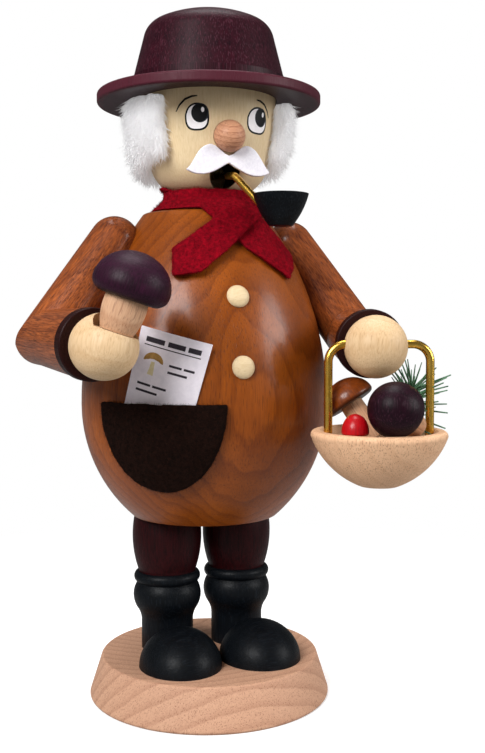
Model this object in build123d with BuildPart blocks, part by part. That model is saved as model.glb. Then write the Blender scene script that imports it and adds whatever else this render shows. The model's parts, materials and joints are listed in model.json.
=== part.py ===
from build123d import *
import os
from math import asin, cos, radians, sin, sqrt

# A turned wooden incense smoker in the shape of a mushroom gatherer.
# Millimetres, +Z up. The figure faces -Y and its own left hand is on +X.
# The origin is the middle of the base's underside.

# Clearances
glue_gap = 0.1  # between glued pieces whose faces are curved
peg_gap = 0.1  # around a peg in its hole
lift_gap = 0.3  # around the plug, so that the figure lifts off
felt_gap = 0.3  # between felt, fur or card and what it lies on
swing_gap = 0.1  # around the bail in the left hand's bore
overrun = 5.0  # how far a cut runs past what it cuts
quarter_share = 0.5523  # reach of a curve's handles over the radius, for a quarter circle

# Base
base_height = 11.9
base_top_radius = 31.9
base_bottom_radius = 35.7
base_edge_round = 0.8
figure_set_back = 4.5  # the body stands this far behind the middle of the base
leg_set_back = 7.6

# Boots and shoes
leg_spacing = 22.0
boot_peg_radius = 3.0
boot_peg_length = 7.0
boot_shaft_radius = 7.75
boot_shaft_height = 10.9
boot_bulge_radius = 10.15
boot_bulge_rise = 5.3
boot_neck_radius = 8.9
boot_neck_rise = 3.9
boot_bead_radius = 9.95
boot_bead_height = 3.3
boot_socket_depth = 2.0
shoe_radius = 11.75
shoe_length_share = 1.12  # a shoe's half length over its half width
shoe_height = 10.8
shoe_spacing = 24.0
shoe_forward = 11.0  # middle of a shoe in front of the middle of the base

# Trouser legs
trouser_foot_radius = 8.5
trouser_bulge_radius = 10.3
trouser_bulge_share = 0.6  # height of the bulge over the length of the leg
trouser_top_radius = 9.7
trouser_length = 19.0
knee_peg_radius = 3.0
knee_peg_length = 7.0
hip_peg_radius = 3.5
hip_peg_length = 7.0

# Plug, dish and tack
plug_flange_height = 4.2
plug_collar_height = 5.0
draught_hole_radius = 2.3
draught_hole_distance = 13.5
dish_radius = 10.5
dish_rim_height = 2.0
dish_thickness = 0.6
tack_head_radius = 2.2
tack_head_height = 0.9
tack_shank_radius = 0.8
tack_shank_length = 5.0

# Body
body_height = 89.0
belly_radius = 36.5
belly_rise = 33.3  # the widest place above the bottom edge
body_top_radius = 17.95  # where the body's outline would meet its top
lower_arc_radius = 44.4
body_wall = 4.2
body_floor = 4.0
body_top_wall = 5.5
rim_depth = 4.0  # how far the body's rim reaches down over the plug
rim_radius = 19.8
mouth_radius = 17.0  # hole in the body's floor, round the plug's collar
body_bottom_round = 1.0
body_shoulder_round = 1.5

# Head
head_forward = 2.0  # the head sits a little in front of the body's axis
head_aside = 0.9  # and a little towards the figure's left hand
neck_radius = 10.4
neck_length = 5.9
chin_arc_radius = 10.5
chin_arc_rise = 9.9  # middle of the chin's arc above the top of the neck
chin_end_angle = 11.3
face_middle_radius = 18.75
face_middle_rise = 23.5
head_top_radius = 19.7
head_height = 38.0
head_tenon_radius = 7.0
head_tenon_length = 5.0
smoke_bore_radius = 4.5
smoke_bore_rise = 26.0
mouth_bore_radius = 4.2
mouth_rise = 10.2
nose_radius = 4.4
nose_rise = 19.7
nose_sink = 3.2  # how far the ball's middle stands inside its own radius from the face
nose_peg_radius = 2.0
nose_peg_length = 4.0

# Hat
hat_brim_radius = 32.6
hat_brim_thickness = 3.0
hat_brim_round = 0.7
hat_underside_rise = 1.4
hat_underside_rim = 30.6
hat_brim_top_rise = 1.6
hat_band_radius = 22.6
hat_band_height = 7.3  # top of the band above the brim's lowest edge
crown_base_radius = 22.1
crown_top_radius = 18.2
crown_shoulder_round = 6.0
crown_dome_rise = 4.7
hat_height = 27.1
hat_rise = 31.4  # the brim's lowest edge above the top of the body

# Hair and moustache
hair_sweep = 250.0
back_azimuth = 180.0  # straight behind the figure
hair_bottom_rise = 14.6
hair_top_rise = 31.4
hair_thickness = 6.6
hair_top_share = 0.9  # thickness at the top and bottom edges over the thickness
hair_bottom_share = 0.55
moustache_half_width = 12.2
moustache_height = 8.4
moustache_seat_share = 0.25  # of its height, where it touches the face
moustache_rise = 13.4
moustache_thickness = 1.2
moustache_top_shares = ((0.0, 0.12), (0.21, 0.31), (0.42, 0.47), (0.6, 0.38), (0.81, -0.02), (1.0, -0.38))
moustache_bottom_shares = ((1.0, -0.38), (0.82, -0.5), (0.62, -0.52), (0.3, -0.37), (0.0, -0.12))

# Pipe
stem_radius = 1.05
stem_inner_offset = 1.5  # the stem's inner end, towards the figure's right
stem_inner_rise = 11.6
stem_seat_depth = 3.0
stem_bend_offset = 1.5
stem_bend_rise = 8.9
stem_bend_forward = 19.3  # in front of the head's axis
stem_bend_round = 2.2
bowl_offset = 11.3
bowl_forward = 29.5
bowl_top_radius = 7.6
bowl_bottom_radius = 3.2
bowl_height = 8.6
bowl_top_rise = 3.1  # the pipe bowl's rim above the top of the body
bowl_wall = 1.6
bowl_floor = 2.6
bowl_middle_radius = 5.9
bowl_middle_rise = 4.1
bowl_stem_rise = 5.8
bowl_seat_radius = 5.6
bowl_stem_azimuth = -107.0

# Scarf
scarf_thickness = 1.3
scarf_bottom_radius = 16.0
scarf_neck_radius = 11.0
scarf_neck_rise = 5.0
scarf_top_radius = 13.4
scarf_top_rise = 7.2
scarf_front_slope = 14.0  # the wrap's top edge falls towards the front
scarf_front_drop = 0.9  # how far the tails reach up past the top of the body, into the wrap
scarf_strip_width = 9.0
scarf_knot_offset = 4.0
scarf_knot_drop = 2.0
upper_tail_length = 26.8
upper_tail_angle = 217.6
upper_tail_thickness = 2.4
upper_tail_shares = ((-0.3, -0.4), (0.8, -0.5), (1.0, 0.12), (0.78, 0.5), (-0.3, 0.45))
lower_tail_length = 21.8
lower_tail_angle = -43.0
lower_tail_shares = (
    (-0.4, -0.6),
    (0.3, -0.74),
    (1.0, -0.42),
    (1.0, 0.05),
    (0.9, 0.42),
    (0.22, 0.62),
    (-0.4, 0.3),
)

# Buttons
button_radius = 3.15
button_dome = 1.7
button_peg_radius = 1.5
button_peg_length = 2.6
upper_button_drop = 24.7  # below the body's top
lower_button_drop = 43.6

# Pocket and card
pocket_azimuth = -36.0
pocket_half_width = 17.9
pocket_depth = 24.3
pocket_top_rise = 35.7
pocket_thickness = 2.4
card_azimuth = -34.0
card_width = 19.7
card_length = 27.0
card_thickness = 0.4
card_tilt = 15.0
card_middle_rise = 41.0
card_play = 0.3

# Arms
shoulder_drop = 8.5  # below the body's top
shoulder_inset = 9.5  # inside the body's widest radius
shoulder_radius = 7.3
elbow_radius = 8.0
elbow_round_radius = 9.9
forearm_end_radius = 9.2
cuff_radius = 9.5
cuff_length = 3.4
cuff_round = 0.5
hand_radius = 8.5
dowel_radius = 2.5
dowel_drop = 1.5
dowel_in_body = 3.2
dowel_in_arm = 6.0
right_elbow_reach = 10.4  # outside the body's widest radius
right_elbow_forward = 6.5  # in front of the body's axis
right_elbow_drop = 27.5
right_forearm_turn = 14.0
right_forearm_dip = 2.6
right_forearm_length = 25.8
right_hand_reach = 35.2
right_hand_half_length = 10.2
left_elbow_reach = 7.1
left_elbow_forward = 10.0
left_elbow_drop = 27.0
left_forearm_turn = 15.0
left_forearm_dip = 4.1
left_forearm_length = 26.7
left_hand_reach = 37.1

# Mushroom in the right hand
held_set_forward = 4.0
held_lean = 19.0
held_lean_azimuth = 73.0
held_seat = 4.0
held_seat_radius = 6.4
held_cap_radius = 9.9
held_cap_height = 12.0
held_cap_rim = 3.4
held_stem_length = 10.1
held_stem_foot_radius = 4.2
held_stem_bulge_radius = 5.5
held_stem_top_radius = 5.2
cap_socket_depth = 1.5

# Basket
bail_radius = 1.15
bail_half_span = 13.8
bail_bend_radius = 4.8
bail_rise = 0.7  # the bail's axis above the middle of the left hand
bail_slip = 1.0  # the bail's middle outside the middle of the left hand
basket_drop = 23.1  # from the bail's axis down to the rim
basket_radius = 18.25
basket_height = 15.0
basket_side_rise = 13.3
basket_middle_radius = 12.9
basket_middle_rise = 5.0
basket_foot_radius = 5.2
basket_rim_radius = 17.4
basket_dish_radius = 15.8
basket_dish_depth = 5.5
bail_seat_depth = 6.3  # the bail's foot below the rim

# Mushrooms in the basket, placed from the middle of the basket's rim
dark_cap_radius = 7.45
dark_cap_height = 11.0
dark_cap_rim = 2.6
dark_stem_radius = 3.3
dark_stem_length = 9.4
dark_out = 11.9
dark_azimuth = -6.2
dark_lean_azimuth = -53.0
dark_rise_angle = 23.6
tan_cap_radius = 7.3
tan_cap_height = 7.2
tan_cap_rim = 1.2
tan_stem_radius = 3.1
tan_stem_length = 11.2
tan_aside = -4.4
tan_back = 8.1
tan_rise = 6.5
tan_lean = 35.7
tan_lean_azimuth = -129.0
stem_swell_share = 1.05
red_cap_radius = 3.6
red_cap_height = 5.6
red_cap_rim = 0.8
red_out = 12.2
red_azimuth = -56.5

# Fir twig
twig_out = 9.0
twig_azimuth = 120.0
twig_sink = 1.0
twig_radius = 0.6
twig_length = 16.0
twig_lean = 10.0
twig_lean_azimuth = 90.0
needle_radius = 0.35
needle_length = 8.5
needle_count = 26
needle_start_share = 0.35
needle_turn = 137.5
needle_angle = 62.0

# Heights and places that follow from the sizes above
figure_y = figure_set_back
leg_y = leg_set_back
head_y = figure_y - head_forward
boot_height = boot_shaft_height + boot_bulge_rise + boot_neck_rise + boot_bead_height
trouser_z = base_height + boot_height - boot_socket_depth
plug_z = trouser_z + trouser_length
ledge_z = plug_z + plug_flange_height
plug_top_z = ledge_z + plug_collar_height
body_z = ledge_z - rim_depth
belly_z = body_z + belly_rise
body_top_z = body_z + body_height
cavity_z = ledge_z + body_floor
cavity_top_z = body_top_z - body_top_wall
hat_z = body_top_z + hat_rise
shoulder_z = body_top_z - shoulder_drop
shoulder_out = belly_radius - shoulder_inset
right_elbow_out = belly_radius + right_elbow_reach
left_elbow_out = belly_radius + left_elbow_reach
belly_fall = belly_radius - body_top_radius
upper_arc_radius = (belly_fall**2 + (body_top_z - belly_z) ** 2) / (2 * belly_fall)

figure_axis = Axis((0, figure_y, 0), (0, 0, 1))
head_axis = Axis((head_aside, head_y, 0), (0, 0, 1))
figure_plane = Plane.XZ.offset(-figure_y)

os.makedirs("parts", exist_ok=True)


def save(piece, label):
    """Labels a finished piece and writes it."""
    piece.part.label = label
    export_step(piece.part, f"parts/{label}.step")


def outward(azimuth):
    """The level direction at an azimuth from the figure's front, towards its left hand."""
    return Vector(sin(radians(azimuth)), -cos(radians(azimuth)), 0)


def leaning(lean, azimuth):
    """The direction that leans from upright by an angle, towards an azimuth."""
    return outward(azimuth) * sin(radians(lean)) + Vector(0, 0, 1) * cos(radians(lean))


def front_plane(azimuth, height):
    """An upright plane through the body's axis that faces outward at an azimuth."""
    return Plane(
        origin=(0, figure_y, height),
        x_dir=(cos(radians(azimuth)), sin(radians(azimuth)), 0),
        z_dir=outward(azimuth),
    )


def turning_plane(foot, direction):
    """A plane for a turned outline: its Y runs along the turning axis, from the foot."""
    direction = direction.normalized()
    side = direction.cross(Vector(0, 0, 1)) if abs(direction.Z) < 1 else Vector(0, -1, 0)
    side = side.normalized()
    return Plane(origin=foot, x_dir=direction.cross(side), z_dir=side)


def circle_through(first, second, third):
    """The middle and the radius of the circle through three points of an outline."""
    a, b, c = (Vector(*point, 0) for point in (first, second, third))
    turn = 2 * (b - a).cross(c - a).Z
    across = (b - a) * (c - a).length ** 2 - (c - a) * (b - a).length ** 2
    middle = a + Vector(-across.Y, across.X, 0) / turn
    return middle, (middle - a).length


def dome_line(radius, foot, top):
    """A quarter of an ellipse, from the side of a turned outline to its axis."""
    reach = (top - foot) * quarter_share
    return Bezier((radius, foot), (radius, foot + reach), (radius * quarter_share, top), (0, top))


def body_radius(height, gap=0):
    """Radius of the body at a height, or of the surface that stands a gap outside it."""
    rise = height - belly_z
    arc = upper_arc_radius if rise > 0 else lower_arc_radius
    return belly_radius - arc + sqrt((arc + gap) ** 2 - rise**2)


def body_outline(gap, low, high):
    """Half the body's outline between two heights, a gap outside it, closed on the axis."""
    low_middle = (low + belly_z) / 2
    high_middle = (high + belly_z) / 2
    with BuildLine() as outline:
        lower = ThreePointArc(
            (body_radius(low, gap), low),
            (body_radius(low_middle, gap), low_middle),
            (belly_radius + gap, belly_z),
        )
        upper = ThreePointArc(
            lower @ 1,
            (body_radius(high_middle, gap), high_middle),
            (body_radius(high, gap), high),
        )
        Polyline(upper @ 1, (0, high), (0, low), lower @ 0)
    make_face(outline.edges())


def body_offset(gap, mode, over_top=0):
    """A solid of the body's whole outer shape, a gap outside it, carried on over its top."""
    with BuildSketch(figure_plane) as half:
        body_outline(gap, body_z, body_top_z + over_top)
    revolve(half.sketch, axis=figure_axis, mode=mode)


def round_peg(foot, direction, radius, length, mode=Mode.ADD):
    """Adds a round peg from a point along a direction."""
    with Locations(Plane(origin=foot, z_dir=direction)):
        Cylinder(radius, length, align=(Align.CENTER, Align.CENTER, Align.MIN), mode=mode)


def peg_hole(foot, direction, radius, depth):
    """Cuts a round hole from a point along a direction."""
    round_peg(foot, direction, radius, depth, Mode.SUBTRACT)


up = Vector(0, 0, 1)
down = Vector(0, 0, -1)
forward = Vector(0, -1, 0)

# Base
with BuildPart() as base_plate:
    with BuildSketch(Plane.XZ):
        with BuildLine():
            Polyline(
                (0, 0),
                (base_bottom_radius, 0),
                (base_top_radius, base_height),
                (0, base_height),
                close=True,
            )
        make_face()
    revolve(axis=Axis.Z)
    fillet(base_plate.edges().filter_by(GeomType.CIRCLE), radius=base_edge_round)
    for side in (-1, 1):
        top = Vector(side * leg_spacing / 2, leg_y, base_height)
        peg_hole(top, down, boot_peg_radius + peg_gap, boot_peg_length + peg_gap)
save(base_plate, "base_plate")

# Boots, trouser legs and shoes
bulge_z = boot_shaft_height + boot_bulge_rise
neck_z = bulge_z + boot_neck_rise
flare_start = boot_shaft_height - boot_bulge_rise / 2
flare_middle = (
    (boot_shaft_radius + boot_bulge_radius) / 2,
    (flare_start + bulge_z) / 2,
)
for name, side in (("left", 1), ("right", -1)):
    leg_x = side * leg_spacing / 2
    boot_foot = Vector(leg_x, leg_y, base_height)
    boot_plane = turning_plane(boot_foot, up)
    leg_axis = Axis(boot_foot, up)
    with BuildPart() as boot:
        with BuildSketch(boot_plane):
            with BuildLine():
                shaft = Line((boot_shaft_radius, 0), (boot_shaft_radius, flare_start))
                flare = TangentArc(shaft @ 1, flare_middle, tangent=shaft % 1)
                bulge = TangentArc(flare @ 1, (boot_bulge_radius, bulge_z), tangent=flare % 1)
                tuck = TangentArc(bulge @ 1, (boot_neck_radius, neck_z), tangent=bulge % 1)
                bead = ThreePointArc(
                    tuck @ 1,
                    (boot_bead_radius, neck_z + boot_bead_height / 2),
                    (boot_neck_radius, boot_height),
                )
                Polyline(bead @ 1, (0, boot_height), (0, 0), shaft @ 0)
            make_face()
        revolve(axis=leg_axis)
        boot_top = boot_foot + up * boot_height
        peg_hole(boot_top, down, trouser_foot_radius + peg_gap, boot_socket_depth)
        peg_hole(
            boot_top,
            down,
            knee_peg_radius + peg_gap,
            boot_socket_depth + knee_peg_length + peg_gap,
        )
        round_peg(boot_foot, down, boot_peg_radius, boot_peg_length)
    save(boot, f"{name}_boot")

    leg_foot = Vector(leg_x, leg_y, trouser_z)
    with BuildPart() as trouser_leg:
        with BuildSketch(turning_plane(leg_foot, up)):
            with BuildLine():
                swell = ThreePointArc(
                    (trouser_foot_radius, boot_socket_depth),
                    (trouser_bulge_radius, trouser_length * trouser_bulge_share),
                    (trouser_top_radius, trouser_length),
                )
                Polyline(
                    swell @ 1,
                    (0, trouser_length),
                    (0, 0),
                    (trouser_foot_radius, 0),
                    swell @ 0,
                )
            make_face()
        revolve(axis=leg_axis)
        round_peg(leg_foot, down, knee_peg_radius, knee_peg_length)
        round_peg(leg_foot + up * trouser_length, up, hip_peg_radius, hip_peg_length)
    save(trouser_leg, f"{name}_trouser_leg")

    shoe_middle = Vector(side * shoe_spacing / 2, -shoe_forward, base_height)
    with BuildPart() as shoe:
        with BuildSketch(turning_plane(shoe_middle, up)):
            with BuildLine():
                toe = dome_line(shoe_radius, 0, shoe_height)
                Polyline(toe @ 1, (0, 0), toe @ 0)
            make_face()
        revolve(axis=Axis(shoe_middle, up))
        scale(by=(1, shoe_length_share, 1), about=shoe_middle)
        peg_hole(boot_foot, up, boot_shaft_radius + glue_gap, boot_height)
    save(shoe, f"{name}_shoe")

# Plug, which carries the figure and the incense
plug_foot = Vector(0, figure_y, plug_z)
ledge = Vector(0, figure_y, ledge_z)
plug_top = Vector(0, figure_y, plug_top_z)
with BuildPart() as stand_plug:
    round_peg(plug_foot, up, rim_radius - lift_gap, plug_flange_height)
    round_peg(ledge, up, mouth_radius - lift_gap, plug_collar_height)
    for side in (-1, 1):
        hip = Vector(side * leg_spacing / 2, leg_y, plug_z)
        peg_hole(hip, up, hip_peg_radius + peg_gap, hip_peg_length + peg_gap)
        draught = plug_foot + Vector(0, side * draught_hole_distance, 0)
        peg_hole(draught, up, draught_hole_radius, plug_top_z - plug_z)
    peg_hole(plug_top, down, tack_shank_radius, tack_shank_length)
save(stand_plug, "stand_plug")

with BuildPart() as incense_dish:
    with BuildSketch(turning_plane(plug_top, up)):
        with BuildLine():
            Polyline(
                (tack_shank_radius, 0),
                (dish_radius - dish_rim_height, 0),
                (dish_radius, dish_rim_height),
                (dish_radius - dish_thickness, dish_rim_height),
                (dish_radius - dish_rim_height - dish_thickness / 2, dish_thickness),
                (tack_shank_radius, dish_thickness),
                close=True,
            )
        make_face()
    revolve(axis=figure_axis)
save(incense_dish, "incense_dish")

with BuildPart() as dish_tack:
    tack_seat = plug_top + up * dish_thickness
    with BuildSketch(turning_plane(tack_seat, up)):
        with BuildLine():
            dome = dome_line(tack_head_radius, 0, tack_head_height)
            Polyline(dome @ 1, (0, 0), dome @ 0)
        make_face()
    revolve(axis=figure_axis)
    round_peg(tack_seat, down, tack_shank_radius - peg_gap, tack_shank_length)
save(dish_tack, "dish_tack")


def button_plane(height):
    """The plane on the body's front that faces along its surface's normal."""
    rise = height - belly_z
    tip = asin(rise / (upper_arc_radius if rise > 0 else lower_arc_radius))
    return Plane(
        origin=(0, figure_y - body_radius(height), height),
        x_dir=(1, 0, 0),
        z_dir=(0, -cos(tip), sin(tip)),
    )


# Body: a hollow egg with a step at its mouth that sits on the plug
dowel_z = shoulder_z - dowel_drop
dowel_inner = body_radius(dowel_z) - dowel_in_body
button_planes = {
    "upper_button": button_plane(body_top_z - upper_button_drop),
    "lower_button": button_plane(body_top_z - lower_button_drop),
}
with BuildPart() as body_shell:
    body_offset(0, Mode.ADD)
    rims = body_shell.edges().filter_by(GeomType.CIRCLE).sort_by(Axis.Z)
    fillet(rims[0], radius=body_bottom_round)
    rims = body_shell.edges().filter_by(GeomType.CIRCLE).sort_by(Axis.Z)
    fillet(rims[-1], radius=body_shoulder_round)
    with BuildSketch(figure_plane):
        body_outline(-body_wall, cavity_z, cavity_top_z)
    revolve(axis=figure_axis, mode=Mode.SUBTRACT)
    peg_hole(ledge, down, rim_radius, rim_depth)
    peg_hole(ledge, up, mouth_radius, body_floor)
    tenon_seat = Vector(head_aside, head_y, cavity_top_z)
    peg_hole(tenon_seat, up, head_tenon_radius + peg_gap, body_top_wall)
    for side in (-1, 1):
        seat = Vector(side * dowel_inner, figure_y, dowel_z)
        peg_hole(seat, Vector(side, 0, 0), dowel_radius + peg_gap, dowel_in_body + overrun)
    for plane in button_planes.values():
        peg_hole(
            plane.origin + plane.z_dir * overrun,
            -plane.z_dir,
            button_peg_radius + peg_gap,
            overrun + button_peg_length + peg_gap,
        )
save(body_shell, "body_shell")

for label, plane in button_planes.items():
    with BuildPart() as button:
        with BuildSketch(turning_plane(plane.origin, plane.z_dir)):
            with BuildLine():
                dome = dome_line(button_radius, glue_gap, glue_gap + button_dome)
                Polyline(dome @ 1, (0, glue_gap), dome @ 0)
            make_face()
        revolve(axis=Axis(plane.origin, plane.z_dir))
        round_peg(
            plane.origin + plane.z_dir * glue_gap,
            -plane.z_dir,
            button_peg_radius,
            button_peg_length,
        )
    save(button, label)

# Head: a turned bell on a tenon, bored up the middle for the smoke and in from the mouth
neck = Vector(head_aside, head_y, body_top_z)
chin_middle_radius = neck_radius - sqrt(chin_arc_radius**2 - chin_arc_rise**2)
chin_middle_z = neck_length + chin_arc_rise
jaw_angle = radians(chin_end_angle)
jaw = (
    chin_middle_radius + chin_arc_radius * cos(jaw_angle),
    chin_middle_z - chin_arc_radius * sin(jaw_angle),
)
chin_half_angle = (jaw_angle + asin(chin_arc_rise / chin_arc_radius)) / 2
chin_half = (
    chin_middle_radius + chin_arc_radius * cos(chin_half_angle),
    chin_middle_z - chin_arc_radius * sin(chin_half_angle),
)


face_middle, face_arc_radius = circle_through(
    jaw, (face_middle_radius, face_middle_rise), (head_top_radius, head_height)
)


def face_radius(rise):
    """Radius of the face at a rise above the top of the body."""
    return face_middle.X + sqrt(face_arc_radius**2 - (rise - face_middle.Y) ** 2)


nose_middle = neck + Vector(0, -(face_radius(nose_rise) + nose_radius - nose_sink), nose_rise)
stem_inner = neck + Vector(
    -stem_inner_offset, smoke_bore_radius + stem_seat_depth, stem_inner_rise
)
stem_bend = neck + Vector(stem_bend_offset, -stem_bend_forward, stem_bend_rise)
with BuildPart() as head:
    with BuildSketch(turning_plane(neck, up)):
        with BuildLine():
            throat = Line((neck_radius, 0), (neck_radius, neck_length))
            chin = ThreePointArc(throat @ 1, chin_half, jaw)
            face = ThreePointArc(
                jaw, (face_middle_radius, face_middle_rise), (head_top_radius, head_height)
            )
            Polyline(face @ 1, (0, head_height), (0, 0), throat @ 0)
        make_face()
    revolve(axis=head_axis)
    round_peg(neck, down, head_tenon_radius, head_tenon_length)
    tenon_end = neck + down * head_tenon_length
    peg_hole(tenon_end, up, smoke_bore_radius, head_tenon_length + smoke_bore_rise)
    peg_hole(neck + up * mouth_rise, forward, mouth_bore_radius, head_top_radius)
    peg_hole(stem_inner, stem_bend - stem_inner, stem_radius + peg_gap, smoke_bore_radius)
    with Locations(nose_middle):
        Sphere(nose_radius + glue_gap, mode=Mode.SUBTRACT)
    peg_hole(
        nose_middle,
        -forward,
        nose_peg_radius + peg_gap,
        nose_radius + nose_peg_length + peg_gap,
    )
save(head, "head")

with BuildPart() as nose:
    with Locations(nose_middle):
        Sphere(nose_radius)
    round_peg(nose_middle, -forward, nose_peg_radius, nose_radius + nose_peg_length)
save(nose, "nose")

# Hat: brim, band and domed crown in one turning, with a socket for the head
brim = neck + up * hat_rise
socket_radius = head_top_radius + glue_gap
hat_socket_depth = head_height - hat_rise
crown_shoulder = (crown_top_radius, hat_height - crown_dome_rise)
with BuildPart() as hat:
    with BuildSketch(turning_plane(brim, up)) as hat_sketch:
        with BuildLine():
            dome_radius = (crown_top_radius**2 + crown_dome_rise**2) / (2 * crown_dome_rise)
            half_turn = asin(crown_top_radius / dome_radius) / 2
            dome = ThreePointArc(
                crown_shoulder,
                (
                    dome_radius * sin(half_turn),
                    hat_height - dome_radius * (1 - cos(half_turn)),
                ),
                (0, hat_height),
            )
            Polyline(
                dome @ 1,
                (0, hat_socket_depth),
                (socket_radius, hat_socket_depth),
                (socket_radius, hat_underside_rise),
                (hat_underside_rim, 0),
                (hat_brim_radius, 0),
                (hat_brim_radius, hat_brim_thickness),
                (hat_band_radius, hat_brim_thickness + hat_brim_top_rise),
                (hat_band_radius, hat_band_height),
                (crown_base_radius, hat_band_height),
                crown_shoulder,
            )
        make_face()
        shoulder_corner = hat_sketch.vertices().sort_by_distance(crown_shoulder)[0]
        fillet(shoulder_corner, radius=crown_shoulder_round)
        brim_corners = hat_sketch.vertices().filter_by(
            lambda corner: corner.X > hat_brim_radius - hat_brim_round / 2
        )
        fillet(brim_corners, radius=hat_brim_round)
    revolve(axis=head_axis)
save(hat, "hat")

# Hair: a strip of fur from temple to temple, round the back under the brim
hair_start = back_azimuth - hair_sweep / 2
hair_low = face_radius(hair_bottom_rise) + felt_gap
hair_high = face_radius(hair_top_rise) + felt_gap
hair_middle_rise = (hair_bottom_rise + hair_top_rise) / 2
with BuildPart() as hair_strip:
    hair_plane = Plane(
        origin=neck, x_dir=outward(hair_start), z_dir=outward(hair_start).cross(up)
    )
    with BuildSketch(hair_plane):
        with BuildLine():
            inside = ThreePointArc(
                (hair_low, hair_bottom_rise),
                (face_radius(hair_middle_rise) + felt_gap, hair_middle_rise),
                (hair_high, hair_top_rise),
            )
            outside = ThreePointArc(
                (hair_high + hair_thickness * hair_top_share, hair_top_rise),
                (face_radius(hair_middle_rise) + hair_thickness, hair_middle_rise),
                (hair_low + hair_thickness * hair_bottom_share, hair_bottom_rise),
            )
            Line(inside @ 1, outside @ 0)
            Line(outside @ 1, inside @ 0)
        make_face()
    revolve(axis=head_axis, revolution_arc=hair_sweep)
save(hair_strip, "hair_strip")

# Moustache: one flat cut of felt under the nose
moustache_face = face_radius(moustache_rise + moustache_height * moustache_seat_share) + felt_gap
moustache_plane = Plane(
    origin=neck + forward * moustache_face + up * moustache_rise, x_dir=(1, 0, 0), z_dir=forward
)
with BuildPart() as moustache:
    with BuildSketch(moustache_plane):
        with BuildLine():
            Spline([(x * moustache_half_width, y * moustache_height) for x, y in moustache_top_shares])
            Spline(
                [(x * moustache_half_width, y * moustache_height) for x, y in moustache_bottom_shares]
            )
            Line(
                (0, moustache_bottom_shares[-1][1] * moustache_height),
                (0, moustache_top_shares[0][1] * moustache_height),
            )
        make_face()
        mirror(about=Plane.YZ)
    extrude(amount=moustache_thickness)
save(moustache, "moustache")

# Pipe: a bent brass stem from the back of the head, out of the mouth, into a turned bowl
bowl_foot = neck + Vector(bowl_offset, -bowl_forward, bowl_top_rise - bowl_height)
bowl_axis = Axis(bowl_foot, up)
stem_end = bowl_foot + outward(bowl_stem_azimuth) * bowl_seat_radius + up * bowl_stem_rise
with BuildPart() as pipe_bowl:
    with BuildSketch(turning_plane(bowl_foot, up)):
        with BuildLine():
            side_arc = ThreePointArc(
                (bowl_bottom_radius, 0),
                (bowl_middle_radius, bowl_middle_rise),
                (bowl_top_radius, bowl_height),
            )
            cup = dome_line(bowl_top_radius - bowl_wall, bowl_height, bowl_floor)
            Line(side_arc @ 1, cup @ 0)
            Polyline(cup @ 1, (0, 0), side_arc @ 0)
        make_face()
    revolve(axis=bowl_axis)
    peg_hole(stem_end, stem_bend - stem_end, stem_radius + peg_gap, bowl_top_radius)
save(pipe_bowl, "pipe_bowl")

with BuildPart() as pipe_stem:
    with BuildLine() as stem_path:
        FilletPolyline(stem_inner, stem_bend, stem_end, radius=stem_bend_round)
    with BuildSketch(Plane(origin=stem_path.line @ 0, z_dir=stem_path.line % 0)):
        Circle(stem_radius)
    sweep()
save(pipe_stem, "pipe_stem")

# Scarf: one felt strip, wrapped round the neck and crossed in front
knot = (scarf_knot_offset, body_top_z - scarf_knot_drop)
scarf_inside = (
    (scarf_bottom_radius, felt_gap),
    (scarf_neck_radius, scarf_neck_rise),
    (scarf_top_radius, scarf_top_rise),
)
scarf_outside = [(radius + scarf_thickness, rise) for radius, rise in reversed(scarf_inside)]


def scarf_tail(angle, length, shares, thickness):
    """A tail of the scarf that lies on the body's front, pointing along an angle from the knot."""
    with BuildPart(mode=Mode.PRIVATE) as tail:
        with BuildSketch(figure_plane):
            with Locations(Location((*knot, 0), (0, 0, angle))):
                Polygon(
                    [(along * length, across * scarf_strip_width) for along, across in shares],
                    align=None,
                )
        extrude(amount=belly_radius)
        body_offset(felt_gap + thickness, Mode.INTERSECT, scarf_front_drop)
        body_offset(felt_gap, Mode.SUBTRACT, scarf_front_drop)
    return tail.part


with BuildPart() as scarf:
    with BuildSketch(turning_plane(neck, up)):
        Polygon([*scarf_inside, *scarf_outside], align=None)
    revolve(axis=head_axis)
    slope = radians(scarf_front_slope)
    top_edge = Plane(origin=neck + up * scarf_top_rise, z_dir=(0, -sin(slope), cos(slope)))
    split(bisect_by=top_edge, keep=Keep.BOTTOM)
    add(scarf_tail(lower_tail_angle, lower_tail_length, lower_tail_shares, scarf_thickness))
    add(scarf_tail(upper_tail_angle, upper_tail_length, upper_tail_shares, upper_tail_thickness))
save(scarf, "scarf")

# Card and pocket
pocket_top_z = body_z + pocket_top_rise
card_radius = belly_radius + felt_gap
card_z = body_z + card_middle_rise
card_face = front_plane(card_azimuth, card_z)
tilt = radians(card_tilt)
card_reach = (card_width * cos(tilt) + card_length * sin(tilt)) / 2 + card_play
card_low_z = card_z - (card_length * cos(tilt) + card_width * sin(tilt)) / 2 - card_play
with BuildPart() as guide_card:
    with BuildSketch(Plane.XY.offset(body_z)):
        with Locations((0, figure_y)):
            Circle(card_radius + card_thickness)
            Circle(card_radius, mode=Mode.SUBTRACT)
    extrude(amount=body_height)
    with BuildSketch(card_face):
        Rectangle(card_width, card_length, rotation=-card_tilt)
    extrude(amount=belly_radius + overrun, mode=Mode.INTERSECT)
save(guide_card, "guide_card")

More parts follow.
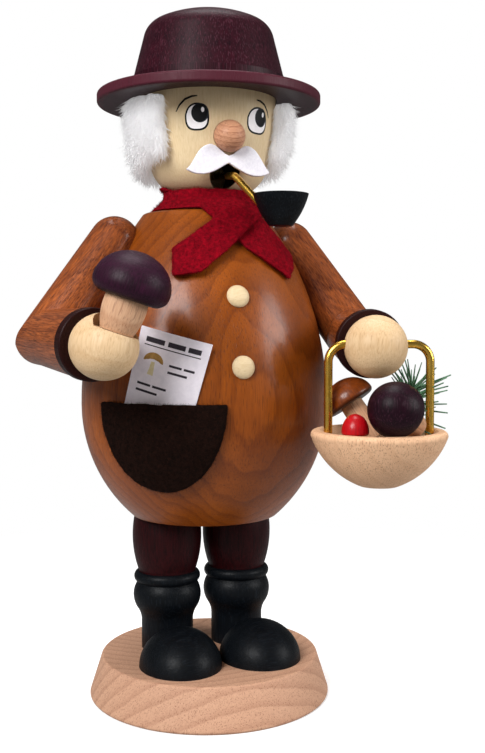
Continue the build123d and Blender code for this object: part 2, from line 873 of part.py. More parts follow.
with BuildPart() as pocket:
    with BuildSketch(front_plane(pocket_azimuth, pocket_top_z)):
        Ellipse(pocket_half_width, pocket_depth)
        Rectangle(
            2 * pocket_half_width + overrun,
            pocket_depth + overrun,
            align=(Align.CENTER, Align.MIN),
            mode=Mode.SUBTRACT,
        )
    extrude(amount=belly_radius + overrun)
    body_offset(felt_gap + pocket_thickness, Mode.INTERSECT)
    body_offset(felt_gap, Mode.SUBTRACT)
    with BuildPart(mode=Mode.PRIVATE) as card_slot:
        with BuildSketch(Plane.XY.offset(card_low_z)):
            with Locations((0, figure_y)):
                Circle(card_radius + card_thickness + card_play)
        extrude(amount=body_height)
        with BuildSketch(front_plane(card_azimuth, card_low_z)):
            Rectangle(2 * card_reach, body_height, align=(Align.CENTER, Align.MIN))
        extrude(amount=belly_radius + overrun, mode=Mode.INTERSECT)
    add(card_slot.part, mode=Mode.SUBTRACT)
save(pocket, "pocket")


def forearm_direction(inward_side, turn, dip):
    """The way a forearm points: forward, turned towards the middle and dipping a little."""
    level = Vector(inward_side * sin(radians(turn)), -cos(radians(turn)), 0)
    return level * cos(radians(dip)) + down * sin(radians(dip))


# Arms: each upper arm and forearm are turned, domed at the elbow, then mitred together
shoulders, elbows, forearm_ways, hand_middles = {}, {}, {}, {}
arms = (
    ("left", 1, left_elbow_out, left_elbow_forward, left_elbow_drop, left_forearm_turn,
     left_forearm_dip, left_forearm_length, left_hand_reach, hand_radius),
    ("right", -1, right_elbow_out, right_elbow_forward, right_elbow_drop, right_forearm_turn,
     right_forearm_dip, right_forearm_length, right_hand_reach, right_hand_half_length),
)
elbow_dome_drop = sqrt(elbow_round_radius**2 - elbow_radius**2)
dome_half_angle = asin(elbow_radius / elbow_round_radius) / 2


def arm_outline(length, end_radius, end_dome):
    """Half an arm's turned outline: a domed elbow, a taper, and a flat or domed far end."""
    with BuildLine() as outline:
        elbow_dome = ThreePointArc(
            (0, -elbow_round_radius),
            (
                elbow_round_radius * sin(dome_half_angle),
                -elbow_round_radius * cos(dome_half_angle),
            ),
            (elbow_radius, -elbow_dome_drop),
        )
        Polyline(elbow_dome @ 1, (elbow_radius, 0), (end_radius, length))
        if end_dome:
            far_end = CenterArc((0, length), end_radius, 0, 90)
        else:
            far_end = Line((end_radius, length), (0, length))
        Line(far_end @ 1, elbow_dome @ 0)
    make_face(outline.edges())


def hand_shape(middle, way, half_length, gap=0, mode=Mode.ADD):
    """A hand, or a gap outside it: a ball, or a ball drawn out along the arm."""
    with BuildPart(mode=Mode.PRIVATE) as blank:
        Sphere(hand_radius + gap)
        if half_length > hand_radius:
            scale(by=(1, 1, (half_length + gap) / (hand_radius + gap)))
    with Locations(Plane(origin=middle, z_dir=way)):
        add(blank.part, mode=mode)


held_way = leaning(held_lean, held_lean_azimuth)
for name, side, out, ahead, drop, turn, dip, length, reach, half_length in arms:
    shoulder = Vector(side * shoulder_out, figure_y, shoulder_z)
    elbow = Vector(side * out, figure_y - ahead, shoulder_z - drop)
    way = forearm_direction(-side, turn, dip)
    hand_middle = elbow + way * reach
    forearm_ways[name] = way
    hand_middles[name] = hand_middle
    climb = shoulder - elbow
    mitre = Plane(origin=elbow, z_dir=way - climb.normalized())
    dowel_seat = Vector(side * dowel_inner, figure_y, dowel_z)
    outwards = Vector(side, 0, 0)
    dowel_length = dowel_in_body + dowel_in_arm

    with BuildPart() as upper_arm:
        with BuildSketch(turning_plane(elbow, climb)):
            arm_outline(climb.length, shoulder_radius, True)
        revolve(axis=Axis(elbow, climb))
        split(bisect_by=mitre, keep=Keep.BOTTOM)
        body_offset(glue_gap, Mode.SUBTRACT)
        peg_hole(dowel_seat, outwards, dowel_radius + peg_gap, dowel_length + peg_gap)
    save(upper_arm, f"{name}_upper_arm")

    with BuildPart() as shoulder_dowel:
        round_peg(dowel_seat, outwards, dowel_radius, dowel_length)
    save(shoulder_dowel, f"{name}_shoulder_dowel")

    with BuildPart() as forearm:
        with BuildSketch(turning_plane(elbow, way)):
            arm_outline(length, forearm_end_radius, False)
        revolve(axis=Axis(elbow, way))
        split(bisect_by=mitre, keep=Keep.TOP)
        hand_shape(hand_middle, way, half_length, glue_gap, Mode.SUBTRACT)
    save(forearm, f"{name}_forearm")

    cuff_foot = elbow + way * length
    with BuildPart() as cuff:
        round_peg(cuff_foot, way, cuff_radius, cuff_length)
        fillet(cuff.edges().filter_by(GeomType.CIRCLE), radius=cuff_round)
        hand_shape(hand_middle, way, half_length, glue_gap, Mode.SUBTRACT)
    save(cuff, f"{name}_cuff")

    with BuildPart() as hand:
        if name == "right":
            hand_shape(hand_middle, way, half_length)
            held_foot = hand_middle + way * held_set_forward + held_way * held_seat
            peg_hole(held_foot, held_way, held_seat_radius, hand_radius)
        else:
            bail_way = Vector(-way.Y, way.X, 0).normalized()
            hand_shape(hand_middle, bail_way, half_length)
            bore_start = hand_middle + up * bail_rise - bail_way * (hand_radius + overrun)
            bore_length = 2 * (hand_radius + overrun)
            peg_hole(bore_start, bail_way, bail_radius + swing_gap, bore_length)
    save(hand, f"{name}_hand")


def turned_cap(base, way, radius, height, rim):
    """Adds a mushroom's cap: a flat underside, a rounded rim and a domed top."""
    with BuildSketch(turning_plane(base, way)) as half:
        with BuildLine():
            lip = CenterArc((radius - rim, rim), rim, 270, 90)
            dome = dome_line(radius, rim, height)
            Polyline(dome @ 1, (0, 0), lip @ 0)
        make_face()
    revolve(half.sketch, axis=Axis(base, way))


def turned_stem(foot, way, foot_radius, bulge_radius, top_radius, length):
    """Adds a mushroom's stem with a swelling halfway up."""
    with BuildSketch(turning_plane(foot, way)) as half:
        with BuildLine():
            swell = ThreePointArc((foot_radius, 0), (bulge_radius, length / 2), (top_radius, length))
            Polyline(swell @ 1, (0, length), (0, 0), swell @ 0)
        make_face()
    revolve(half.sketch, axis=Axis(foot, way))


# Mushroom in the right hand
held_base = held_foot + held_way * (held_stem_length - cap_socket_depth)
with BuildPart() as held_mushroom_stem:
    turned_stem(
        held_foot + held_way * glue_gap,
        held_way,
        held_stem_foot_radius,
        held_stem_bulge_radius,
        held_stem_top_radius,
        held_stem_length - glue_gap,
    )
save(held_mushroom_stem, "held_mushroom_stem")
with BuildPart() as held_mushroom_cap:
    turned_cap(held_base, held_way, held_cap_radius, held_cap_height, held_cap_rim)
    peg_hole(held_base, held_way, held_stem_bulge_radius + glue_gap, cap_socket_depth)
save(held_mushroom_cap, "held_mushroom_cap")

# Basket: a shallow dished bowl on a wire bail that hangs in the left hand
bail_middle = hand_middles["left"] + up * bail_rise + bail_way * bail_slip
basket_foot = bail_middle + down * (basket_drop + basket_height)
dish_floor_rise = basket_height - basket_dish_depth
dish_arc_radius = (basket_dish_radius**2 + basket_dish_depth**2) / (2 * basket_dish_depth)


def dish_point(out, azimuth):
    """The point of the basket's dished floor at a distance from its middle."""
    rise = dish_arc_radius - sqrt(dish_arc_radius**2 - out**2)
    return basket_foot + outward(azimuth) * out + up * (dish_floor_rise + rise)


twig_foot = dish_point(twig_out, twig_azimuth)
twig_way = leaning(twig_lean, twig_lean_azimuth)
bail_feet = [
    bail_middle + bail_way * (end * bail_half_span) + down * (basket_drop + bail_seat_depth)
    for end in (-1, 1)
]
with BuildPart() as basket_bowl:
    with BuildSketch(turning_plane(basket_foot, up)):
        with BuildLine():
            side_arc = ThreePointArc(
                (basket_foot_radius, 0),
                (basket_middle_radius, basket_middle_rise),
                (basket_radius, basket_side_rise),
            )
            rim_arc = TangentArc(side_arc @ 1, (basket_rim_radius, basket_height), tangent=side_arc % 1)
            half_dish = asin(basket_dish_radius / dish_arc_radius) / 2
            dished = ThreePointArc(
                (basket_dish_radius, basket_height),
                (
                    dish_arc_radius * sin(half_dish),
                    dish_floor_rise + dish_arc_radius * (1 - cos(half_dish)),
                ),
                (0, dish_floor_rise),
            )
            Line(rim_arc @ 1, dished @ 0)
            Polyline(dished @ 1, (0, 0), side_arc @ 0)
        make_face()
    revolve(axis=Axis(basket_foot, up))
    for bail_foot in bail_feet:
        peg_hole(bail_foot, up, bail_radius + peg_gap, basket_height)
    peg_hole(twig_foot - twig_way * twig_sink, twig_way, twig_radius + peg_gap, basket_height)
save(basket_bowl, "basket_bowl")

with BuildPart() as basket_bail:
    bail_corners = [bail_middle + bail_way * (end * bail_half_span) for end in (-1, 1)]
    bail_ends = [bail_foot + up * peg_gap for bail_foot in bail_feet]
    with BuildLine() as bail_path:
        FilletPolyline(bail_ends[0], *bail_corners, bail_ends[1], radius=bail_bend_radius)
    with BuildSketch(Plane(origin=bail_path.line @ 0, z_dir=bail_path.line % 0)):
        Circle(bail_radius)
    sweep()
save(basket_bail, "basket_bail")

# Mushrooms in the basket: the dark one lies against the front of the dish
dark_way = leaning(90 - dark_rise_angle, dark_lean_azimuth)
dish_middle = basket_foot + up * (dish_floor_rise + dish_arc_radius)
dark_sweep = dish_arc_radius - dark_cap_radius - glue_gap
dark_middle = (
    dish_middle + outward(dark_azimuth) * dark_out + down * sqrt(dark_sweep**2 - dark_out**2)
)
dark_base = dark_middle - dark_way * (dark_cap_height - dark_cap_radius)
with BuildPart() as dark_mushroom_cap:
    turned_cap(dark_base, dark_way, dark_cap_radius, dark_cap_height, dark_cap_rim)
    peg_hole(dark_base, dark_way, dark_stem_radius + glue_gap, cap_socket_depth)
save(dark_mushroom_cap, "dark_mushroom_cap")
with BuildPart() as dark_mushroom_stem:
    turned_stem(
        dark_base - dark_way * dark_stem_length,
        dark_way,
        dark_stem_radius,
        dark_stem_radius * stem_swell_share,
        dark_stem_radius,
        dark_stem_length + cap_socket_depth - glue_gap,
    )
save(dark_mushroom_stem, "dark_mushroom_stem")

# The tan one stands behind them on its foot's edge and leans
tan_way = leaning(tan_lean, tan_lean_azimuth)
tan_base = basket_foot + Vector(tan_aside, tan_back, basket_height + tan_rise)
tan_foot = tan_base - tan_way * tan_stem_length
with BuildPart() as tan_mushroom_stem:
    turned_stem(
        tan_foot,
        tan_way,
        tan_stem_radius,
        tan_stem_radius * stem_swell_share,
        tan_stem_radius,
        tan_stem_length + cap_socket_depth - glue_gap,
    )
save(tan_mushroom_stem, "tan_mushroom_stem")
with BuildPart() as tan_mushroom_cap:
    turned_cap(tan_base, tan_way, tan_cap_radius, tan_cap_height, tan_cap_rim)
    peg_hole(tan_base, tan_way, tan_stem_radius * stem_swell_share + glue_gap, cap_socket_depth)
save(tan_mushroom_cap, "tan_mushroom_cap")

# The small red one stands upright near the rim
red_reach = red_cap_radius - red_cap_rim / 2
red_base = dish_point(red_out + red_reach, red_azimuth) - outward(red_azimuth) * red_reach
with BuildPart() as red_mushroom:
    turned_cap(red_base, up, red_cap_radius, red_cap_height, red_cap_rim)
save(red_mushroom, "red_mushroom")

# Fir twig: a wire stem with needles that wind up it
twig_side = twig_way.cross(up).normalized()
twig_front = twig_side.cross(twig_way).normalized()
twig_start = twig_foot - twig_way * (twig_sink - peg_gap)
with BuildPart() as fir_twig:
    round_peg(twig_start, twig_way, twig_radius, twig_length)
    for count in range(needle_count):
        along = needle_start_share + (1 - needle_start_share) * count / needle_count
        spin = radians(needle_turn * count)
        sideways = twig_side * cos(spin) + twig_front * sin(spin)
        way = twig_way * cos(radians(needle_angle)) + sideways * sin(radians(needle_angle))
        with BuildSketch(Plane(origin=twig_start + twig_way * (twig_length * along), z_dir=way)):
            RegularPolygon(needle_radius, 4)
        extrude(amount=needle_length)
save(fir_twig, "fir_twig")
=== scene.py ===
"""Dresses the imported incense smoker: wood finishes, felt, fur, print, needles, floor and light."""

from __future__ import annotations

import json
import logging
import math
from dataclasses import dataclass
from enum import Enum
from typing import Any, Callable, Optional, Sequence

import bmesh
import bpy
from mathutils import Euler, Matrix, Vector, noise
from mathutils.bvhtree import BVHTree

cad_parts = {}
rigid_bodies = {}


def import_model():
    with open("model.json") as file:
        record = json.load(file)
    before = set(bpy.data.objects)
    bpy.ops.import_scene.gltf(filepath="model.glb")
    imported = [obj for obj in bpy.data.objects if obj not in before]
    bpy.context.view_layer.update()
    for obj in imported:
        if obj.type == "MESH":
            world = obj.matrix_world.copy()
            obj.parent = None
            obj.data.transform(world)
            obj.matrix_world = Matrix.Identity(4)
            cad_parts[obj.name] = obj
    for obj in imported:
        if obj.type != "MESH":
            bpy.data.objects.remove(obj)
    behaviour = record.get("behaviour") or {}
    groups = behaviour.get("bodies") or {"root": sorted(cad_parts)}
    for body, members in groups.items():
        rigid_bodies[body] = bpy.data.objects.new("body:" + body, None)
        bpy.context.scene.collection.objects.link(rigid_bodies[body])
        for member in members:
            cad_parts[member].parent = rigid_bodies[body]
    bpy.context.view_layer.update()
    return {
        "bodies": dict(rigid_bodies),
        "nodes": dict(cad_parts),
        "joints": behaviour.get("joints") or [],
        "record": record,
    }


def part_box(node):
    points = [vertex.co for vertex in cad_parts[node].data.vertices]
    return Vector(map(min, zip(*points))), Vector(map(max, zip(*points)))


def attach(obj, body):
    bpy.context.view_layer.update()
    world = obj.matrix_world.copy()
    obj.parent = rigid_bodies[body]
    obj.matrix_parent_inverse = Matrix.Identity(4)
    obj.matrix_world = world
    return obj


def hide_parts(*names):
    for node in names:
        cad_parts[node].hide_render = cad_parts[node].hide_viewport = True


log = logging.getLogger("smoker")
Tint = tuple[float, float, float, float]
Place = tuple[float, float, float]
Spot = tuple[float, float]
Oval = tuple[float, float, float, float]
Bar = tuple[float, float, float, float]
Inputs = dict[Any, Any]
Ray = Callable[[float, float], tuple[Vector, Vector]]
Socket = bpy.types.NodeSocket
Node = bpy.types.Node
Tree = bpy.types.NodeTree
Material = bpy.types.Material
Piece = bpy.types.Object

MM = 0.001
TURN = 2 * math.pi
UP = Vector((0, 0, 1))
UPRIGHT = (0, 0, 1)
LEVEL = (1, 1, 0)
SIDES = (("left", 1), ("right", -1))
HEAD_MIDDLE = (0.9, 2.5)
WELD = 0.002 * MM
SHARP_EDGE = math.radians(35)
OVAL_STEPS = 28
LEAF_ANGLE = math.radians(137.5)
STRAND_SIZES = (0.55, 1.2)
STRAND_SWAY = 0.25
NEEDLE_SIZES = (0.72, 1.12)
NEEDLE_SWAY = 0.28
NEEDLE_TIP = 0.45


def grey(level: float) -> Tint:
    """Gives a grey of a linear level."""
    return (level, level, level, 1.0)


def tint(code: str) -> Tint:
    """Turns a six-digit sRGB colour code into a linear colour.

    Args:
        code: red, green and blue as hexadecimal digits.

    Returns:
        The linear colour with an alpha of 1.
    """
    shares = [int(code[at : at + 2], 16) / 255 for at in (0, 2, 4)]
    linear = [s / 12.92 if s <= 0.04045 else ((s + 0.055) / 1.055) ** 2.4 for s in shares]
    return (linear[0], linear[1], linear[2], 1.0)


def outward(azimuth: float) -> Vector:
    """Gives the level direction at degrees from the front towards the figure's left."""
    turn = math.radians(azimuth)
    return Vector((math.sin(turn), -math.cos(turn), 0))


def mirrored(place: Place, sign: int) -> Vector:
    """Gives a place of the left side, or its mirror image for a sign of -1."""
    return Vector((sign * place[0], place[1], place[2]))


def share_of(distance: float, whole: float) -> float:
    """Gives a distance as a share of a whole one, between 0 and 1."""
    return min(1.0, max(0.0, distance / whole))


class NodeBench:
    """Adds and joins nodes in one tree."""

    def __init__(self, tree: Tree) -> None:
        """Keeps the tree that the nodes go into."""
        self.tree = tree

    def add(self, kind: str, inputs: Optional[Inputs] = None, **settings: Any) -> Node:
        """Adds one node.

        Args:
            kind: the node's type name.
            inputs: what goes into it, by the input's name or number.
            settings: values of the node's own properties.

        Returns:
            The new node.
        """
        node = self.tree.nodes.new(kind)
        for name, value in settings.items():
            setattr(node, name, value)
        self.feed(node, inputs or {})
        return node

    def feed(self, node: Node, inputs: Inputs) -> None:
        """Links sockets to a node's inputs, and sets plain values on the inputs themselves.

        Args:
            node: the node that is fed.
            inputs: sockets and plain values, by the input's name or number.
        """
        for key, value in inputs.items():
            if isinstance(value, Socket):
                self.tree.links.new(value, node.inputs[key])
            else:
                node.inputs[key].default_value = value

    def value(
        self, kind: str, inputs: Optional[Inputs] = None, output: Any = 0, **settings: Any
    ) -> Socket:
        """Adds one node and gives one of its outputs, by name or number."""
        return self.add(kind, inputs, **settings).outputs[output]

    def sum(self, operation: str, *values: Any, clamp: bool = False) -> Socket:
        """Adds a Math node, whose result is kept between 0 and 1 where clamp is set."""
        inputs = dict(enumerate(values))
        return self.value("ShaderNodeMath", inputs, operation=operation, use_clamp=clamp)

    def vector(self, operation: str, *values: Any) -> Socket:
        """Adds a Vector Math node and gives its vector."""
        return self.value("ShaderNodeVectorMath", dict(enumerate(values)), operation=operation)

    def scale(self, vector: Socket, factor: Any) -> Socket:
        """Gives a vector times a number."""
        return self.value("ShaderNodeVectorMath", {0: vector, "Scale": factor}, operation="SCALE")

    def length(self, vector: Socket) -> Socket:
        """Gives the length of a vector."""
        return self.value("ShaderNodeVectorMath", {0: vector}, "Value", operation="LENGTH")

    def radius(self, place: Socket) -> Socket:
        """Gives a place's distance from the Z axis."""
        return self.length(self.vector("MULTIPLY", place, LEVEL))

    def split(self, vector: Socket) -> Any:
        """Gives the three numbers of a vector."""
        return self.add("ShaderNodeSeparateXYZ", {0: vector}).outputs

    def join_up(self, **axes: Any) -> Socket:
        """Gives a vector from its numbers X, Y and Z, each 0 where it isn't given."""
        return self.value("ShaderNodeCombineXYZ", axes)

    def mix(self, share: Any, first: Any, second: Any) -> Socket:
        """Gives the mixture of two colours by the share of the second."""
        return self.value("ShaderNodeMix", {0: share, 6: first, 7: second}, 2, data_type="RGBA")

    def span(
        self, value: Any, start: float, end: float, low: float = 0.0, high: float = 1.0
    ) -> Socket:
        """Maps a value from start and end to low and high, clamped."""
        return self.value("ShaderNodeMapRange", {0: value, 1: start, 2: end, 3: low, 4: high})

    def noise(
        self,
        place: Socket,
        stretch: Place,
        detail: float = 2.0,
        rough: float = 0.5,
        warp: float = 0.0,
    ) -> Socket:
        """Adds noise over a place that is stretched first.

        Args:
            place: the coordinates, in millimetres.
            stretch: waves per millimetre along each axis.
            detail: the number of finer layers.
            rough: how strong the finer layers are.
            warp: how far the noise is distorted.

        Returns:
            The noise's value, from 0 to 1.
        """
        inputs = {"Vector": self.vector("MULTIPLY", place, stretch), "Scale": 1.0}
        inputs |= {"Detail": detail, "Roughness": rough, "Distortion": warp}
        return self.value("ShaderNodeTexNoise", inputs)

    def ramp(self, value: Socket, stops: Sequence[Spot]) -> Socket:
        """Maps a value over grey stops.

        Args:
            value: the value that is mapped.
            stops: the place and the level of each stop.

        Returns:
            The level's socket.
        """
        node = self.add("ShaderNodeValToRGB", {0: value})
        marks = node.color_ramp.elements
        while len(marks) < len(stops):
            marks.new(0.5)
        for mark, (place, level) in zip(marks, stops):
            mark.position = place
            mark.color = grey(level)
        return node.outputs[0]

    def place(self) -> Socket:
        """Gives the Object coordinates in millimetres."""
        return self.scale(self.value("ShaderNodeTexCoord", output="Object"), 1 / MM)

    def bump(self, height: Socket, depth: float) -> Socket:
        """Gives the normal of a relief whose depth is in millimetres."""
        return self.value("ShaderNodeBump", {"Distance": depth * MM, "Height": height})

    def random(self, low: Any, high: Any, seed: Socket) -> Socket:
        """Draws a number or a vector for each element.

        Args:
            low: the least number or vector.
            high: the greatest one.
            seed: the seed of the draws.

        Returns:
            The drawn value's socket.
        """
        number = isinstance(low, float)
        kind, first, output = ("FLOAT", 2, 1) if number else ("FLOAT_VECTOR", 0, 0)
        inputs = {first: low, first + 1: high, "Seed": seed}
        return self.value("FunctionNodeRandomValue", inputs, output, data_type=kind)

    def join(self, *parts: Socket) -> Socket:
        """Joins geometries into one.

        Args:
            parts: the geometries, in the order in which they are joined.

        Returns:
            The joined geometry.
        """
        node = self.add("GeometryNodeJoinGeometry")
        for part in parts:
            self.tree.links.new(part, node.inputs[0])
        return node.outputs[0]

    def place_out(self, points: Socket, piece: Socket, rotation: Socket, scale: Socket) -> Socket:
        """Sets a piece on points, each copy with its own rotation and scale."""
        inputs = {"Points": points, "Instance": piece, "Rotation": rotation, "Scale": scale}
        return self.value("GeometryNodeInstanceOnPoints", inputs)

    def realize(self, copies: Socket) -> Socket:
        """Turns copies into real geometry."""
        return self.value("GeometryNodeRealizeInstances", {0: copies})

    def coat(self, geometry: Socket, material: Socket) -> Socket:
        """Gives a geometry its material."""
        inputs = {"Geometry": geometry, "Material": material}
        return self.value("GeometryNodeSetMaterial", inputs)


def new_group(
    name: str, kind: str, inputs: dict[str, str], outputs: dict[str, str]
) -> tuple[NodeBench, Any, Node]:
    """Starts a node group with named sockets.

    Args:
        name: the group's name.
        kind: Shader or Geometry.
        inputs: the kind of each input's socket, by the input's name.
        outputs: the kind of each output's socket, by the output's name.

    Returns:
        The group's bench, the sockets that come in and the node for what goes out.
    """
    tree = bpy.data.node_groups.new(name, f"{kind}NodeTree")
    for sockets, way in ((inputs, "INPUT"), (outputs, "OUTPUT")):
        for label, socket in sockets.items():
            tree.interface.new_socket(label, in_out=way, socket_type=f"NodeSocket{socket}")
    bench = NodeBench(tree)
    return bench, bench.add("NodeGroupInput").outputs, bench.add("NodeGroupOutput")


def start_material(name: str) -> tuple[Material, NodeBench, Node]:
    """Starts a material.

    Args:
        name: the material's name.

    Returns:
        The material, its bench and its shader.
    """
    made = bpy.data.materials.new(name)
    made.use_nodes = True
    return made, NodeBench(made.node_tree), made.node_tree.nodes["Principled BSDF"]


class Effects:
    """Shader groups that several finishes share, each built once.

    The waves are per millimetre along each axis.
    """

    drift_waves: Place = (0.05, 0.05, 0.014)
    ring_stops: tuple[Spot, ...] = ((0.0, 0.85), (0.09, 0.12), (0.62, 0.3), (1.0, 0.85))
    ring_relief: float = -0.25
    fibre_waves: Place = (2.4, 2.4, 0.13)
    fleck_waves: Place = (4.2, 4.2, 0.2)
    fleck_band: Spot = (0.63, 0.72)
    fleck_relief: float = 0.5
    mottle_waves: Place = (0.8, 0.8, 0.8)
    strand_waves: Place = (1.1, 3.2, 1.7)
    strand_band: Spot = (0.6, 0.68)
    strand_relief: float = 0.7

    def __init__(self) -> None:
        """Builds the groups."""
        self.grain = self.build_grain()
        self.lint = self.build_lint()

    def build_grain(self) -> Tree:
        """Builds growth rings, fibres and flecks about the local Z axis, in millimetres.

        Returns:
            The group's tree.
        """
        bench, given, result = new_group(
            "turned_grain",
            "Shader",
            {"Place": "Vector", "Ring Spacing": "Float", "Wobble": "Float"},
            dict.fromkeys(("Rings", "Fibres", "Flecks", "Relief"), "Float"),
        )
        place = given["Place"]
        drift = bench.sum("SUBTRACT", bench.noise(place, self.drift_waves), 0.5)
        radius = bench.sum("MULTIPLY_ADD", drift, given["Wobble"], bench.radius(place))
        count = bench.sum("DIVIDE", radius, given["Ring Spacing"])
        rings = bench.ramp(bench.sum("FRACT", count), self.ring_stops)
        fibres = bench.noise(place, self.fibre_waves, detail=4.0, rough=0.65)
        specks = bench.noise(place, self.fleck_waves, detail=0.0)
        flecks = bench.span(specks, *self.fleck_band)
        raised = bench.sum("MULTIPLY_ADD", rings, self.ring_relief, fibres)
        relief = bench.sum("SUBTRACT", raised, bench.sum("MULTIPLY", flecks, self.fleck_relief))
        bench.feed(result, {"Rings": rings, "Fibres": fibres, "Flecks": flecks, "Relief": relief})
        return bench.tree

    def build_lint(self) -> Tree:
        """Builds the matted fibres of felt, in millimetres.

        Returns:
            The group's tree.
        """
        bench, given, result = new_group(
            "felt_lint",
            "Shader",
            {"Place": "Vector", "Fineness": "Float"},
            dict.fromkeys(("Mottle", "Lint", "Relief"), "Float"),
        )
        place = bench.scale(given["Place"], given["Fineness"])
        mottle = bench.noise(place, self.mottle_waves, detail=5.0, rough=0.7, warp=0.6)
        strands = bench.noise(place, self.strand_waves, detail=3.0, rough=0.6, warp=3.5)
        lint = bench.span(strands, *self.strand_band)
        relief = bench.sum("MULTIPLY_ADD", strands, self.strand_relief, mottle)
        bench.feed(result, {"Mottle": mottle, "Lint": lint, "Relief": relief})
        return bench.tree


class Gloss(Enum):
    """How a surface is coated: roughness, coat weight, coat roughness and specular level."""

    BARE = (0.6, 0.0, 0.3, 0.2)
    SATIN = (0.5, 0.08, 0.3, 0.18)
    PAINT = (0.42, 0.05, 0.3, 0.09)
    LACQUER = (0.36, 0.3, 0.2, 0.16)


class Zone(Enum):
    """What a second colour of a finish follows, in the piece's own turned frame."""

    HEIGHT = "height"
    RADIUS = "radius"


@dataclass(frozen=True)
class Shade:
    """A second colour over part of a piece.

    Its share goes from 0 at start to 1 at end, in millimetres along the zone.
    """

    zone: Zone
    start: float
    end: float
    code: str


@dataclass(frozen=True)
class WoodFinish:
    """Wood with its stain and coat.

    Spacing, wobble and relief are in millimetres. Rings, fibres, flecks and blotches are the
    shares of the darker colours. Each band is the range of a noise that a mask spreads out.
    """

    name: str
    slot: str
    light: str
    dark: str
    fleck: str
    gloss: Gloss
    spacing: float
    wobble: float
    rings: float
    fibres: float
    flecks: float = 0.0
    blotches: float = 0.0
    relief: float = 0.06
    fibre_band: Spot = (0.33, 0.68)
    blotch_waves: Place = (0.07, 0.07, 0.05)
    blotch_band: Spot = (0.35, 0.65)
    rough_band: Spot = (0.3, 0.7)
    rough_swing: Spot = (-0.06, 0.1)

    def material(
        self,
        effects: Effects,
        piece: str,
        pith: Vector,
        fibre: Vector,
        shade: Optional[Shade] = None,
    ) -> Material:
        """Makes this finish for one piece.

        Args:
            effects: the shared shader groups.
            piece: the piece's name.
            pith: a point on the line that the growth rings go round, in millimetres.
            fibre: the direction of the fibres.
            shade: a second colour over part of the piece.

        Returns:
            The material.
        """
        made, bench, shader = start_material(f"{self.name}_{piece}")
        turn = fibre.rotation_difference(UP)
        mapping = {"Vector": bench.place(), "Rotation": turn.to_euler(), "Location": turn @ -pith}
        place = bench.value("ShaderNodeMapping", mapping)
        inputs = {"Place": place, "Ring Spacing": self.spacing, "Wobble": self.wobble}
        grain = bench.add("ShaderNodeGroup", inputs, node_tree=effects.grain).outputs
        fibres = bench.span(grain["Fibres"], *self.fibre_band)
        rings = bench.sum("MULTIPLY", grain["Rings"], self.rings)
        streaks = bench.sum("MULTIPLY_ADD", fibres, self.fibres, rings, clamp=True)
        colour = bench.mix(streaks, tint(self.light), tint(self.dark))
        if self.blotches:
            cloud = bench.noise(place, self.blotch_waves, detail=3.0)
            patches = bench.span(cloud, *self.blotch_band, 0.0, self.blotches)
            colour = bench.mix(patches, colour, tint(self.dark))
        if self.flecks:
            spots = bench.sum("MULTIPLY", grain["Flecks"], self.flecks)
            colour = bench.mix(spots, colour, tint(self.fleck))
        if shade:
            reach = bench.radius(place) if shade.zone is Zone.RADIUS else bench.split(place)[2]
            colour = bench.mix(bench.span(reach, shade.start, shade.end), colour, tint(shade.code))
        rough, coat, coat_rough, specular = self.gloss.value
        swing = [rough + change for change in self.rough_swing]
        shader_inputs = {
            "Base Color": colour,
            "Roughness": bench.span(grain["Fibres"], *self.rough_band, *swing),
            "Coat Weight": coat,
            "Coat Roughness": coat_rough,
            "Specular IOR Level": specular,
            "Normal": bench.bump(grain["Relief"], self.relief),
        }
        bench.feed(shader, shader_inputs)
        return made


@dataclass(frozen=True)
class FeltFinish:
    """Felt, fur or matted fibre, with its relief and scatter in millimetres."""

    name: str
    slot: str
    base: str
    deep: str
    lint: str
    lint_share: float
    fineness: float
    relief: float
    sheen: float = 0.3
    # glow weighs the subsurface scatter and, through its emission, a painted glow that brightens the
    # piece.
    glow: float = 0.0
    mottle_band: Spot = (0.35, 0.66)
    rough: float = 0.95
    specular: float = 0.06
    scatter: float = 3.0
    painted_glow_share: float = 0.16

    def material(self, effects: Effects) -> Material:
        """Makes this finish.

        Args:
            effects: the shared shader groups.

        Returns:
            The material.
        """
        made, bench, shader = start_material(self.name)
        inputs = {"Place": bench.place(), "Fineness": self.fineness}
        lint = bench.add("ShaderNodeGroup", inputs, node_tree=effects.lint).outputs
        mottle = bench.span(lint["Mottle"], *self.mottle_band)
        colour = bench.mix(mottle, tint(self.deep), tint(self.base))
        strands = bench.sum("MULTIPLY", lint["Lint"], self.lint_share)
        shader_inputs = {
            "Base Color": bench.mix(strands, colour, tint(self.lint)),
            "Roughness": self.rough,
            "Specular IOR Level": self.specular,
            "Sheen Weight": self.sheen,
            "Sheen Tint": tint(self.lint),
            "Subsurface Weight": self.glow,
            "Subsurface Radius": (1, 1, 1),
            "Subsurface Scale": self.scatter * MM,
            # The emission is a painted glow: it lifts pale fur in place of the light that its
            # strands shade from each other.
            "Emission Color": tint(self.base),
            "Emission Strength": self.glow * self.painted_glow_share,
            "Normal": bench.bump(lint["Relief"], self.relief),
        }
        bench.feed(shader, shader_inputs)
        return made


